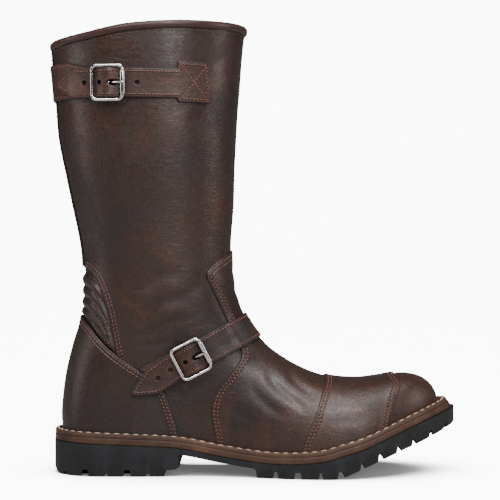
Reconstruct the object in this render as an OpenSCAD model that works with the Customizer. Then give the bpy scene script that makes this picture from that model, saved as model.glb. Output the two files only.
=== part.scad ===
// Right-foot riding boot: leather upper on a welted rubber sole, with two buckled straps.
// +X points to the toe, +Z points up, and -Y is the outer side. All lengths are in mm.
// The origin is on the ground under the middle of the bounding box.

/* [Leather] */
// Thickness of the shaft and toe leather
leather_t = 2.2; // [1.6:0.1:3]
// Thickness of the panels that lie on top of other leather
overlay_t = 1.5; // [1:0.1:2.2]
// Thickness of the lining
lining_t = 1.6; // [1:0.1:2.5]
// Thickness of the heel and toe stiffeners
stiffener_t = 1.6; // [1:0.1:2.5]
// Height of the rolled binding at the collar
binding_h = 6; // [5:0.5:14]
// Clear space between neighbouring layers
gap = 0.15; // [0.1:0.05:0.4]

/* [Sole] */
// Thickness of the welt strip
welt_t = 3.6; // [2.5:0.1:5]
// Thickness of the midsole
midsole_t = 5; // [3:0.1:8]
// Thickness of the rubber sheet above the lugs
sheet_t = 4.6; // [3:0.1:7]
// Depth of the grooves between the lugs
groove_depth = 5; // [2:0.5:6]
// Width of the welt outside the upper
welt_w = 5; // [3:0.5:8]
// Thickness of the insole board
board_t = 2.6; // [1.5:0.1:4]
// Thickness of the loose footbed
footbed_t = 4; // [2:0.5:8]

/* [Straps] */
// Width of both straps
strap_w = 22; // [16:1:30]
// Thickness of the strap leather
strap_t = 2.2; // [1.5:0.1:3]
// Radius of a strap hole
hole_r = 1.5; // [1:0.1:3]

/* [Buckles] */
// Length of a buckle frame along the strap
buckle_l = 26; // [20:1:34]
// Length of a buckle frame across the strap
buckle_w = 28; // [24:1:36]
// Radius of the frame wire
wire_r = 1.3; // [1:0.1:2]
// Radius of the bar inside the roller
roller_bar_r = 1.1; // [0.8:0.1:1.6]
// Outer radius of the roller
roller_r = 1.95; // [1.6:0.05:2.6]
// Radius of the prong
prong_r = 1.05; // [0.8:0.05:1.5]
// Play between a pin and the piece that turns on it
pin_play = 0.2; // [0.1:0.05:0.4]

/* [Detail] */
// Number of rings along the upper
ring_count = 33; // [24:1:60]
// Number of facets round each ring
ring_sides = 28; // [24:2:64]

/* [Hidden] */
$fn = 48;

// Moves the boot so that the origin is under the middle of its bounding box.
origin_shift = [2.1, 1.5, 0];
// Half of the width that every side-view cut spans.
cut_reach = 90;
// Depth by which the closed bottom of the upper's surface runs under the welt.
under = 16;

// ---- curves ----

// Smooth curve through a list of equally spaced values or points; u runs from 0 to len - 1.
function at(list, u) =
    let (
        n = len(list) - 1,
        i = max(0, min(floor(u), n - 1)),
        f = u - i,
        a = list[max(i - 1, 0)],
        b = list[i],
        c = list[i + 1],
        d = list[min(i + 2, n)]
    )
    b + 0.5 * f * ((c - a) + f * ((2 * a - 5 * b + 4 * c - d) + f * (3 * (b - c) + d - a)));

function smooth(points, steps) =
    [for (i = [0 : (len(points) - 1) * steps]) at(points, i / steps)];

function segment(table, x, i = 0) =
    i >= len(table) - 2 || x < table[i + 1][0] ? i : segment(table, x, i + 1);

function slope(table, i) =
    let (a = table[max(i - 1, 0)], b = table[min(i + 1, len(table) - 1)])
    (b[1] - a[1]) / (b[0] - a[0]);

// Smooth value at x from a table of [x, value] rows.
function curve(table, x) =
    let (
        i = segment(table, x),
        a = table[i],
        b = table[i + 1],
        h = b[0] - a[0],
        f = max(0, min(1, (x - a[0]) / h)),
        f2 = f * f,
        f3 = f2 * f
    )
    a[1] * (2 * f3 - 3 * f2 + 1) + b[1] * (3 * f2 - 2 * f3)
        + slope(table, i) * h * (f3 - 2 * f2 + f) + slope(table, i + 1) * h * (f3 - f2);

function unit(v) = v / norm(v);
function mix(a, b, k) = a + (b - a) * k;
function ease(q) = let (f = max(0, min(1, q))) f * f * (3 - 2 * f);

// Rounded end of a section: 0 at the edge, 1 from q = 1 on.
function closing(q, n) = q >= 1 ? 1 : q <= 0 ? 0 : pow(1 - pow(1 - q, n), 1 / n);

// ---- sole shape ----

// Half width of the sole on the outer and the inner side, before heel and toe are rounded.
sole_outer = [[-156, 39], [-120, 39], [-90, 39.5], [-60, 38], [-30, 39], [0, 45.5], [30, 54],
    [55, 57.5], [80, 57], [105, 54], [130, 50], [156, 46]];
sole_inner = [[-156, 39], [-120, 39], [-90, 38.5], [-60, 35], [-30, 32], [0, 34.5], [30, 43],
    [55, 50], [80, 52], [105, 50], [130, 46], [156, 42]];
// The middle line bends to the inner side at the toe.
middle = [[-156, 0], [0, 0], [30, 0.5], [60, 2], [100, 5], [156, 8.5]];
// Height of the top of the welt.
welt_top = [[-160, 34], [-120, 32.8], [-90, 31.6], [-58, 29.6], [-24, 23.4], [12, 19.3],
    [48, 21], [66, 25.8], [83, 31], [105, 40.4], [121, 47], [140, 53.8], [160, 60]];
// Height of the underside of the rubber at its lugs.
tread = [[-4, 0], [56, 0], [66, 1.4], [79, 6.8], [97, 14.6], [112, 20.8], [127, 26.4],
    [141, 32], [160, 39.5]];

heel_x = -156;
sheet_toe_x = 156;
midsole_toe_x = 153;
welt_toe_x = 149;
heel_round = 40;
toe_round = 74;
toe_power = 2.2;

function welt_z(x) = curve(welt_top, x);

function sole_y(x, side, inset, toe) =
    curve(middle, x) + side * (curve(side < 0 ? sole_outer : sole_inner, x) - inset)
        * closing((x - heel_x - inset) / heel_round, 2.1)
        * closing((toe - inset - x) / toe_round, toe_power);

outline_steps = 44;

function outline(inset, toe) =
    let (a = heel_x + inset, b = toe - inset)
    concat(
        [for (i = [0 : outline_steps])
            let (x = (a + b) / 2 - (b - a) / 2 * cos(180 * i / outline_steps))
            [x, sole_y(x, -1, inset, toe)]],
        [for (i = [outline_steps - 1 : -1 : 1])
            let (x = (a + b) / 2 - (b - a) / 2 * cos(180 * i / outline_steps))
            [x, sole_y(x, 1, inset, toe)]]);

band_steps = 40;

// Side-view band that follows the welt, between two depths under its top.
function band(upper, lower, x0 = -170, x1 = 170) =
    concat(
        [for (i = [0 : band_steps])
            let (x = mix(x0, x1, i / band_steps))
            [x, welt_z(x) - upper]],
        [for (i = [band_steps : -1 : 0])
            let (x = mix(x0, x1, i / band_steps))
            [x, welt_z(x) - lower]]);

// Extrudes a side-view outline across the boot.
module across(points, y0 = -cut_reach, y1 = cut_reach) {
    translate([0, y1, 0])
        rotate([90, 0, 0])
            linear_extrude(y1 - y0)
                polygon(points);
}

module plan(inset, toe, z0 = -1, z1 = 90) {
    translate([0, 0, z0])
        linear_extrude(z1 - z0)
            polygon(outline(inset, toe));
}

// ---- upper shape ----

// Back line of the upper: height, x.
back_line = [[10, -148], [30, -148.4], [44, -149.4], [60, -148.2], [80, -145.3], [97, -140.6],
    [114, -135.4], [132, -133.3], [150, -133.3], [170, -134.8], [195, -139], [225, -145.2],
    [252, -150.6], [279, -153.4], [306, -156], [330, -157.8], [356, -159.4]];
// Length over which the section rounds in towards the back line.
back_round = [[10, 34], [40, 35], [70, 39], [100, 45], [130, 52], [170, 58], [225, 64],
    [280, 70], [356, 76]];
// Half width of the ankle and the shaft.
shaft_half = [[10, 34], [50, 35.5], [75, 37.5], [100, 39.8], [130, 42], [160, 44.2], [200, 48.5],
    [240, 53], [280, 56.2], [320, 58], [356, 58.8]];
upper_inset = welt_w + overlay_t;
// Keeps the two sides of a ring apart where it closes.
least_half = 0.6;
upper_toe_x = 149.4;

function floor_z(x) = welt_z(x) - welt_t;

// Rings along the upper: [front x, front z, back x, back z, front rounding length, its power].
// The first ones lie level round the shaft, the last ones stand upright across the toes.
rings = [
    [-7, 356, -159.4, 356, 76, 2.1],
    [-8.4, 336, -158.2, 336, 75, 2.1],
    [-10.8, 310, -156.3, 310, 74, 2.1],
    [-12.9, 284, -153.8, 284, 71, 2.1],
    [-14.6, 255, -151, 255, 68, 2.1],
    [-15.9, 225, -145.2, 225, 65, 2.1],
    [-17.4, 198, -139.6, 198, 62, 2.1],
    [-18.5, 176, -135.6, 174, 60, 2.1],
    [-18.6, 159, -133.4, 154, 59, 2.1],
    [-17.8, 147, -133.3, 134, 58, 2.1],
    [-16.2, 138, -135.2, 115, 57, 2.1],
    [-14.2, 131, -140.6, 97, 57, 2.1],
    [-12, 125, -145.3, 80, 57, 2.1],
    [-9.4, 119.5, -148.2, 60, 57, 2.15],
    [-6.2, 114.5, -149.4, 44, 57, 2.2],
    [-3.2, 110, -148.3, 28, 57, 2.2],
    [0.4, 105.5, -146, 14.5, 57, 2.2],
    [4.5, 101, -121, 12.8, 58, 2.2],
    [10, 95.5, -90, 11.6, 58, 2.2],
    [17, 90.3, -56, 7.6, 58, 2.2],
    [27, 84.2, -22, 3.2, 57, 2.2],
    [39, 78.2, 12, 0, 55, 2.25],
    [53, 73.6, 40, 0.2, 51, 2.3],
    [68, 71.2, 62, 4.8, 47, 2.35],
    [82, 70.8, 80, 10.2, 44, 2.4],
    [95, 72.5, 94, 15.8, 42, 2.4],
    [107, 74.6, 107, 21.6, 38, 2.4],
    [117, 75.5, 118, 26, 34, 2.4],
    [126, 74, 127, 29.4, 29, 2.35],
    [133, 70.8, 134, 32, 23, 2.3],
    [138.2, 66, 139, 33.6, 16.5, 2.2],
    [141.6, 60.6, 142, 34.6, 9.5, 2.1]];

ring_last = len(rings) - 1;

// Half width of the upper at a point of the side view, before its top and front are rounded.
function half_width(x, z, side) =
    let (
        foot = (curve(side < 0 ? sole_outer : sole_inner, x) - upper_inset)
            * closing((upper_toe_x - upper_inset - x) / toe_round, toe_power),
        low = max(0, floor_z(x) - z) / under
    )
    mix(foot, curve(shaft_half, z), ease((z - 55) / 90) * (x < 60 ? 1 : 0.6))
        * closing((x - curve(back_line, z)) / curve(back_round, z), 2.1)
        * sqrt(max(0, 1 - low * low));

// Point of the upper's surface on ring u, at share t of the way from the front to the back.
function on_ring(r, t, side) =
    let (
        length = norm([r[0] - r[2], r[1] - r[3]]),
        x = mix(r[0], r[2], t),
        z = mix(r[1], r[3], t),
        half = max(half_width(x, z, side) * closing(t * length / r[4], r[5]), least_half * sin(180 * t))
    )
    [x, curve(middle, x) + side * half, z];

function ring_points(u) =
    let (r = at(rings, u))
    [for (j = [0 : ring_sides - 1])
        let (turn = 360 * j / ring_sides)
        on_ring(r, (1 - cos(turn)) / 2, turn < 180 ? -1 : 1)];

base_grid = [for (i = [0 : ring_count]) ring_points(ring_last * i / ring_count)];

function outward(grid, i, j) =
    let (
        n = len(grid[0]),
        last = len(grid) - 1,
        along = grid[min(i + 1, last)][j] - grid[max(i - 1, 0)][j],
        round = grid[i][(j + 1) % n] - grid[i][(j + n - 1) % n],
        v = unit(cross(round, along))
    )
    i < last ? v : unit(v + [2, 0, 0]);

base_normals = [for (i = [0 : ring_count]) [for (j = [0 : ring_sides - 1]) outward(base_grid, i, j)]];

// Closed tube at a height over the shaft leather's outer face; the height may change towards the toe.
module tube(height, toe_height) {
    n = ring_sides;
    points = [for (i = [0 : ring_count]) for (j = [0 : n - 1])
        base_grid[i][j] + base_normals[i][j]
            * mix(height, toe_height, ease((ring_last * i / ring_count - 18.5) / 3.5))];
    walls = [for (i = [0 : ring_count - 1]) for (j = [0 : n - 1])
        let (k = (j + 1) % n)
        for (f = [[i * n + j, (i + 1) * n + j, (i + 1) * n + k],
                  [i * n + j, (i + 1) * n + k, i * n + k]]) f];
    top = [for (j = [0 : n - 1]) j];
    end = [for (j = [n - 1 : -1 : 0]) ring_count * n + j];
    polyhedron(points, concat(walls, [top, end]), convexity = 8);
}

// Layer of the upper between two heights.
module layer(low, high, toe_high = undef) {
    difference() {
        tube(high, is_undef(toe_high) ? high : toe_high);
        tube(low, low);
    }
}

// Keeps a built-up shape together as one mesh.
module as_one() {
    resize([0, 0, 0])
        children();
}

// ---- seams in the side view ----

collar = [[-170, 331], [-157, 332], [-140, 333.8], [-127, 335.6], [-111, 338.5], [-93, 341.2],
    [-60, 343.4], [-30, 344.2], [-8, 344.8], [10, 345]];
// Front and top edge of the heel counter.
counter_seam = [[-146, 124], [-135.4, 121.5], [-127, 114], [-118.4, 103.5], [-109, 94.6],
    [-98.5, 86.8], [-89.4, 80.8], [-78, 72.5], [-69.7, 63.6], [-64.4, 50.8], [-59.6, 36], [-57, 20]];
// Edge of the shaft leather in front of the ribbed panel.
flex_seam = [[-146, 157.5], [-130.6, 157], [-122.7, 149.5], [-118.4, 142], [-114.7, 132],
    [-112.3, 124], [-109.5, 110], [-106, 92], [-103, 78]];
// Rear edge of the vamp with its extension up the front.
vamp_seam = [[4, 177.5], [-14.6, 173.8], [-25.5, 165.4], [-33.6, 158.6], [-37.2, 152.5],
    [-34.4, 144], [-28.4, 131], [-22.3, 118], [-15, 103], [-10.9, 94], [-11.8, 87], [-20.6, 75],
    [-28, 66], [-32.4, 55], [-33.2, 43.5], [-30.6, 30], [-28, 14]];
band_rear_seam = [[56, 96], [54, 76], [53.6, 70], [48.1, 54.8], [44, 43], [38.7, 31.7], [33, 14]];
band_front_seam = [[106, 96], [108.4, 76], [111.3, 70], [110.6, 64.5], [107.7, 59.6],
    [104.6, 52], [101.9, 44], [99, 30]];
// Line under the toe band where the vamp meets the toe cap.
cap_seam = [[82, 96], [82, 72], [80, 56], [74, 40], [68, 16]];
seam_steps = 4;

cut_steps = 22;
// Clear space between the upper and the midsole under it.
bottom_play = 0.2;

// Lowest line of the upper, on top of the midsole.
function bottom_line(x0, x1) =
    [for (i = [0 : cut_steps])
        let (x = mix(x0, x1, i / cut_steps))
        [x, floor_z(x) + bottom_play]];

function lifted(points, dz) = [for (p = points) [p[0], p[1] + dz]];
function moved(points, dx) = [for (p = points) [p[0] + dx, p[1]]];
function reversed(points) = [for (i = [len(points) - 1 : -1 : 0]) points[i]];

rear_x = -175;
front_x = 175;

module whole_cut(top_drop) {
    across(concat(bottom_line(rear_x, front_x), [[front_x, 400]],
        reversed(lifted(smooth(collar, 3), -top_drop)), [[rear_x, 331 - top_drop]]));
}

// Everything behind a seam that runs from top to bottom.
module behind(seam, dx = 0) {
    s = smooth(seam, seam_steps);
    across(concat([[rear_x, 420], [s[0][0] + dx, 420]], moved(s, dx),
        [[s[len(s) - 1][0] + dx, -20], [rear_x, -20]]));
}

module in_front(seam, dx = 0) {
    s = smooth(seam, seam_steps);
    across(concat([[front_x, 420], [s[0][0] + dx, 420]], moved(s, dx),
        [[s[len(s) - 1][0] + dx, -20], [front_x, -20]]));
}

// Everything under a seam that starts at the back and runs down to the front.
module under_seam(seam, dz = 0) {
    s = smooth(seam, seam_steps);
    across(concat([[rear_x, s[0][1] + dz]], lifted(s, dz), [[s[len(s) - 1][0], -20], [rear_x, -20]]));
}

// ---- straps and buckles ----

// Finds the ring that passes through a point of the side view.
function ring_at(x, z, lo = 0, hi = ring_last, steps = 16) =
    steps == 0 ? (lo + hi) / 2 :
    let (
        u = (lo + hi) / 2,
        r = at(rings, u),
        side = (r[2] - r[0]) * (z - r[1]) - (r[3] - r[1]) * (x - r[0])
    )
    side > 0 ? ring_at(x, z, u, hi, steps - 1) : ring_at(x, z, lo, u, steps - 1);

// Point of the outer side's surface at a point of the side view.
function outer_point(x, z) =
    let (
        r = at(rings, ring_at(x, z)),
        t = norm([x - r[0], z - r[1]]) / norm([r[2] - r[0], r[3] - r[1]])
    )
    on_ring(r, t, -1);

probe = 1.5;

function outer_normal(x, z) =
    unit(cross(outer_point(x + probe, z) - outer_point(x - probe, z),
        outer_point(x, z + probe) - outer_point(x, z - probe)));

// Frame of a buckle: [origin on the leather, direction along the strap, across it, outward].
function buckle_frame(x, z, turn) =
    let (
        n = outer_normal(x, z),
        d = [cos(turn), 0, sin(turn)],
        along = unit(d - (d * n) * n)
    )
    [outer_point(x, z), along, cross(n, along), n];

upper_at = buckle_frame(-108.7, 296.5, 0);
ankle_at = buckle_frame(-48.8, 89.5, 27);
upper_tail_turn = 0;
ankle_tail_turn = 6;

// Puts children drawn along X, across Y and outward Z onto a buckle frame.
module on_frame(f) {
    multmatrix([
        [f[1][0], f[2][0], f[3][0], f[0][0]],
        [f[1][1], f[2][1], f[3][1], f[0][1]],
        [f[1][2], f[2][2], f[3][2], f[0][2]],
        [0, 0, 0, 1]])
        children();
}

// Side-view place of a point given along and across a buckle frame.
function place_of(f, l, w) =
    [f[0][0] + l * f[1][0] + w * f[2][0], f[0][2] + l * f[1][2] + w * f[2][2]];

// Height of the leather over a buckle's plane, at a place along the strap.
function leather_rise(f, l) =
    let (p = place_of(f, l, 0))
    (outer_point(p[0], p[1]) - f[0]) * f[3];

lanes = 4;

// Strap laid on the outer side. Rows: [along, across, half width, height of the underside].
module laid_strap(f, rows) {
    points = [for (side = [0, 1]) for (r = rows) for (k = [0 : lanes])
        let (
            p = place_of(f, r[0], r[1] + r[2] * (2 * k / lanes - 1)),
            q = outer_point(p[0], p[1])
        )
        q + outer_normal(p[0], p[1]) * (r[3] + side * strap_t)];
    m = lanes + 1;
    n = len(rows);
    function id(side, i, k) = (side * n + i) * m + k;
    faces = concat(
        [for (i = [0 : n - 2]) for (k = [0 : lanes - 1])
            for (f = [[id(1, i, k), id(1, i, k + 1), id(1, i + 1, k + 1)],
                      [id(1, i, k), id(1, i + 1, k + 1), id(1, i + 1, k)],
                      [id(0, i, k), id(0, i + 1, k + 1), id(0, i, k + 1)],
                      [id(0, i, k), id(0, i + 1, k), id(0, i + 1, k + 1)]]) f],
        [for (i = [0 : n - 2])
            for (f = [[id(0, i, 0), id(1, i, 0), id(1, i + 1, 0)],
                      [id(0, i, 0), id(1, i + 1, 0), id(0, i + 1, 0)],
                      [id(0, i, lanes), id(1, i + 1, lanes), id(1, i, lanes)],
                      [id(0, i, lanes), id(0, i + 1, lanes), id(1, i + 1, lanes)]]) f],
        [for (k = [0 : lanes - 1])
            for (f = [[id(0, 0, k), id(1, 0, k + 1), id(1, 0, k)],
                      [id(0, 0, k), id(0, 0, k + 1), id(1, 0, k + 1)],
                      [id(0, n - 1, k), id(1, n - 1, k), id(1, n - 1, k + 1)],
                      [id(0, n - 1, k), id(1, n - 1, k + 1), id(0, n - 1, k + 1)]]) f]);
    polyhedron(points, [for (f = faces) [f[2], f[1], f[0]]], convexity = 6);
}

strap_half = strap_w / 2;
bar_l = buckle_l / 2 - wire_r;
rail_w = buckle_w / 2 - wire_r;
bar_play = 1.15;
hinge_bar_h = 3;
sleeve_t = 1.3;
sleeve_r = wire_r + pin_play + sleeve_t;
hub_w = 3.2;
hub_slot = 2.4;
hub_r = 2.4;
prong_over = 2.4;
tail_start = -15.3;

// Height of the straps' underside over the leather, by place along the strap.
entry_h = 0.6;
over_hinge_h = sleeve_r + hinge_bar_h + 0.25;
upper_tail_h = 3.25;
ankle_tail_h = 2.4;
upper_chape_h = 1.3;
ankle_chape_h = 0.2;
chape_t = 1.75;
ankle_strap_h = 1.45;

function front_bar_h(f) = leather_rise(f, bar_l) + entry_h + strap_t + bar_play + roller_r;
function rear_bar_h(f, tail_h) = leather_rise(f, -bar_l) + tail_h + strap_t + bar_play + wire_r;

// Rows of a strap's fixed part: it dips under the roller, climbs over the hinge bar and leaves
// under the rear bar.
function fixed_rows(start_h, tail_h) = [
    [30, 0, strap_half, start_h], [24, 0, strap_half, start_h], [18, 0, strap_half, entry_h],
    [bar_l, 0, strap_half, entry_h], [8, 0, strap_half, 2.3], [4.5, 0, strap_half, 4.4],
    [1.5, 0, strap_half, over_hinge_h], [-1.5, 0, strap_half, over_hinge_h],
    [-5, 0, strap_half, mix(over_hinge_h, tail_h, 0.35)],
    [-bar_l, 0, strap_half, tail_h], [-15, 0, strap_half, tail_h]];

module bar(r, length) {
    rotate([90, 0, 0])
        cylinder(r = r, h = length, center = true);
}

module strap_holes(f, places) {
    on_frame(f)
        for (l = places)
            translate([l[0], l[1], leather_rise(f, l[0])])
                cylinder(r = hole_r, h = 24, center = true, $fn = 16);
}

// Slot through which the prong comes up.
module prong_slot(f) {
    on_frame(f)
        translate([5.2, 0, 5])
            cube([8.4, 2 * hub_slot, 16], center = true);
}

corner_r = 3.6;
// The straight wires are a little thinner than the bends and reach into them.
wire_step = 0.06;
wire_lap = 0.4;
// Short posts carry the hinge bar under the rails.
post_r = 1.1;

module buckle_wire(f, tail_h) {
    front_h = front_bar_h(f);
    rear_h = rear_bar_h(f, tail_h);
    tilt = atan((rear_h - front_h) / (2 * bar_l));
    half_l = bar_l / cos(tilt);
    on_frame(f) {
        translate([0, 0, (front_h + rear_h) / 2])
            rotate([0, tilt, 0]) {
                for (s = [-1, 1]) {
                    translate([0, s * rail_w, 0])
                        rotate([0, 90, 0])
                            cylinder(r = wire_r - wire_step, h = 2 * (half_l - corner_r) + wire_lap,
                                center = true);
                    translate([s * half_l, 0, 0])
                        bar(s > 0 ? roller_bar_r : wire_r - wire_step, 2 * (rail_w - corner_r) + wire_lap);
                }
                for (k = [0 : 3])
                    mirror([k % 2, 0, 0])
                        mirror([0, floor(k / 2), 0])
                            translate([half_l - corner_r, rail_w - corner_r, 0])
                                rotate_extrude(angle = 90)
                                    translate([corner_r, 0])
                                        circle(r = wire_r);
            }
        translate([0, 0, hinge_bar_h])
            bar(wire_r, 2 * (rail_w + 0.9));
        for (s = [-1, 1])
            translate([0, s * (rail_w + 0.1), hinge_bar_h - 0.4])
                cylinder(r = post_r, h = (front_h + rear_h) / 2 - hinge_bar_h + 0.6);
    }
}

function prong_rise(f) = front_bar_h(f) + roller_r + 0.3 + prong_r - hinge_bar_h;

module prong(f) {
    rise = atan(prong_rise(f) / bar_l);
    reach = bar_l / cos(rise) + prong_over;
    on_frame(f)
        translate([0, 0, hinge_bar_h])
            difference() {
                union() {
                    bar(hub_r, hub_w);
                    rotate([0, -rise, 0]) {
                        rotate([0, 90, 0])
                            cylinder(r = prong_r, h = reach);
                        translate([reach, 0, 0])
                            sphere(r = prong_r);
                    }
                }
                bar(wire_r + pin_play, hub_w + 1);
            }
}

module roller(f) {
    on_frame(f)
        translate([bar_l, 0, front_bar_h(f)])
            difference() {
                bar(roller_r, 2 * (rail_w - corner_r) - 0.8);
                bar(roller_bar_r + pin_play, 2 * rail_w);
            }
}

// Loop of a chape round the hinge bar, split in the middle for the prong.
module chape_loop(f) {
    on_frame(f)
        translate([0, 0, hinge_bar_h])
            difference() {
                bar(sleeve_r, strap_w, $fn = 24);
                bar(wire_r + pin_play, strap_w + 2, $fn = 24);
            }
}

module chape_clearance(f) {
    on_frame(f) {
        translate([0, 0, hinge_bar_h])
            bar(wire_r + pin_play, strap_w + 2, $fn = 24);
        translate([0, 0, 3])
            cube([6.4, 2 * hub_slot, 12], center = true);
    }
}

// ---- sole pieces ----

layer_play = 0.12;
sole_drop = welt_t + midsole_t + 2 * layer_play;
cork_t = 1.6;
upper_wall = leather_t + lining_t + stiffener_t + 2 * gap;
inner_inset = upper_inset + upper_wall + 1.7;
tread_start_x = 0.3;
tread_end_x = 160;
// Stepped front face of the heel, above its lugs.
heel_front = [[-59, 13], [-58, 7]];
heel_front_high = concat(heel_front, [[-61, groove_depth]]);

// Side grooves of the forefoot and of the heel: [place along the sole, width, depth if less].
forefoot_grooves = [[15.4, 3.6], [31.9, 5.6], [49.1, 3.2], [64, 4.8], [80, 2.8], [94, 3.6],
    [108, 2.6], [120, 2.6], [134, 2.6]];
centre_grooves = [for (g = forefoot_grooves) if (g[0] < 125) [g[0] + 8, 4]];
heel_grooves = [[-145, 3, 2.6], [-129.2, 5.6], [-113, 3, 2.6], [-97.1, 5.6], [-81.2, 3, 2.6]];
centre_half = 15;
rib_w = 4;

groove_slant = 0.8;

// Height of the rubber's underside: the tread in front, the ground under the heel.
function foot_z(x) = x < 0 ? 0 : curve(tread, x);

// Side-view profile of a row of lugs between two places, with the grooves cut out.
function lug_row(x0, x1, grooves) =
    let (deep = groove_depth)
    concat(
        [[x0, foot_z(x0)]],
        [for (g = grooves)
            let (cut = is_undef(g[2]) ? deep : g[2])
            for (q = [[-g[1] / 2, 0], [-g[1] / 2 + groove_slant, cut],
                      [g[1] / 2 - groove_slant, cut], [g[1] / 2, 0]])
            [g[0] + q[0], foot_z(g[0] + q[0]) + q[1]]],
        [[x1, foot_z(x1)], [x1, foot_z(x1) + deep + 1]],
        [for (i = [9 : -1 : 0])
            let (x = mix(x0, x1, i / 10))
            [x, foot_z(x) + deep + 1]]);

module outsole() {
    edge = centre_half + rib_w;
    color("#2d2e31")
        difference() {
            intersection() {
                plan(0, sheet_toe_x);
                union() {
                    across(concat(
                        [for (i = [0 : band_steps])
                            let (x = mix(-170, tread_end_x, i / band_steps))
                            [x, welt_z(x) - sole_drop]],
                        [for (i = [16 : -1 : 0])
                            let (x = mix(tread_start_x, tread_end_x, i / 16))
                            [x, curve(tread, x) + groove_depth]],
                        [for (i = [20 : -1 : 0])
                            let (x = mix(-170, tread_start_x, i / 20))
                            [x, welt_z(x) - sole_drop - sheet_t]]));
                    across(lug_row(tread_start_x, 158, forefoot_grooves), -80, -edge);
                    across(lug_row(tread_start_x, 158, forefoot_grooves), edge, 80);
                    across(lug_row(tread_start_x, 148, centre_grooves), -centre_half, centre_half);
                }
            }
            nails(0.05);
        }
}

heel_edge = 24;
heel_tail_x = -149.5;
heel_lip_x = -55.5;

module heel_block() {
    base = [[-168, groove_depth + 1], [-168, 5.5], [-156, 5], [-153, 1.2]];
    top = [for (i = [0 : 20])
        let (x = mix(-165, heel_lip_x, i / 20))
        [x, welt_z(x) - sole_drop - sheet_t - layer_play]];
    color("#2a2b2e")
        difference() {
            intersection() {
                plan(0, sheet_toe_x);
                union() {
                    across(concat(top, heel_front_high, [[-165, groove_depth]]));
                    for (y = [[-80, -heel_edge], [heel_edge, 80]])
                        across(concat(base, lug_row(heel_tail_x, -68, heel_grooves)), y[0], y[1]);
                    across(concat(base, lug_row(heel_tail_x, -68, [])), -heel_edge, heel_edge);
                }
            }
            nails(0.05);
        }
}

nail_r = 1.1;
nail_z = 9;
nail_length = 13.2;

module nails(play) {
    for (p = [[-138, 0], [-124, 21], [-124, -21], [-84, 22], [-84, -22]])
        translate([p[0], p[1], nail_z - play])
            cylinder(r = nail_r + play, h = nail_length + 2 * play);
}

module heel_nails() {
    color("#9a9a96")
        nails(0);
}

module midsole() {
    color("#5a4434")
        intersection() {
            plan(0.3, midsole_toe_x);
            across(band(welt_t + layer_play, welt_t + layer_play + midsole_t));
        }
}

module welt() {
    color("#6b5140")
        intersection() {
            difference() {
                plan(0.6, welt_toe_x + 0.6);
                plan(welt_w - 0.4, upper_toe_x);
            }
            across(band(0, welt_t));
        }
}

module shank_block(play) {
    translate([-92 - play, -8 - play, 0])
        cube([100 + 2 * play, 16 + 2 * play, 60]);
}

module cork_filler() {
    color("#b08a5a")
        difference() {
            intersection() {
                plan(inner_inset, upper_toe_x);
                across(band(welt_t - cork_t, welt_t));
            }
            shank_block(0.1);
        }
}

module shank() {
    color("#8d9196")
        intersection() {
            shank_block(0);
            across(band(welt_t - cork_t + 0.2, welt_t - 0.1));
        }
}

module insole_board() {
    top = welt_t - cork_t - layer_play;
    color("#a3805a")
        intersection() {
            plan(inner_inset, upper_toe_x);
            across(band(top - board_t, top));
        }
}

module footbed() {
    top = welt_t - cork_t - board_t - 2 * layer_play;
    color("#3b3b3d")
        intersection() {
            plan(inner_inset + 1.2, upper_toe_x);
            across(band(top - footbed_t, top));
        }
}

// ---- upper pieces ----

lining_h = -leather_t - gap;
foot_lining_h = lining_h - stiffener_t - gap;
split_z = 166;
leather_drop = 2.4;

module below(z) {
    across([[rear_x, -10], [front_x, -10], [front_x, z], [rear_x, z]]);
}

module above(z) {
    across([[rear_x, z], [front_x, z], [front_x, 420], [rear_x, 420]]);
}

stiffener_area = [[-175, 96], [-140, 96], [-118, 86], [-96, 70], [-78, 54], [-66, 40], [-60, 10],
    [-175, 10]];
puff_area = [[84, 100], [84, 60], [92, 10], [175, 10], [175, 100]];
padding_area = [[-175, 158], [-132, 158], [-118, 150], [-110, 134], [-108, 116], [-112, 97.5],
    [-175, 97.5]];

module stiff_layer(area) {
    as_one()
        intersection() {
            layer(lining_h - stiffener_t, lining_h);
            across(area);
            whole_cut(leather_drop);
        }
}

module counter_stiffener() {
    color("#c9bfa8")
        stiff_layer(stiffener_area);
}

module toe_puff() {
    color("#c9bfa8")
        stiff_layer(puff_area);
}

module flex_padding() {
    color("#8c8c86")
        stiff_layer(padding_area);
}

module foot_lining() {
    color("#4a4743")
        as_one()
            intersection() {
                union() {
                    layer(foot_lining_h - lining_t, foot_lining_h);
                    difference() {
                        layer(foot_lining_h - 0.1, lining_h);
                        across([for (p = stiffener_area) [p[0] + gap, p[1] + gap]]);
                        across([for (p = puff_area) [p[0] - gap, p[1]]]);
                        across([for (p = padding_area) [p[0] + gap, p[1] + (p[1] > 130 ? gap : -gap)]]);
                    }
                }
                whole_cut(leather_drop);
                below(split_z);
            }
}

module shaft_lining() {
    color("#54504b")
        as_one()
            intersection() {
                layer(lining_h - lining_t, lining_h);
                whole_cut(leather_drop);
                above(split_z + gap);
            }
}

// The vamp lies on the shaft leather over this width.
lap = 9;
vamp_rise = 1.25;

flex_area = concat(smooth(flex_seam, seam_steps), [[-175, 78], [-175, 157.5]]);

module shaft() {
    color("#4b3832")
        as_one()
            difference() {
                intersection() {
                    layer(-leather_t, 0);
                    whole_cut(leather_drop);
                    behind(vamp_seam, lap);
                }
                across(moved(flex_area, 0.2));
            }
}

rib_starts = [153.5, 145, 136.5, 128];
rib_h = 5.8;

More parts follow.
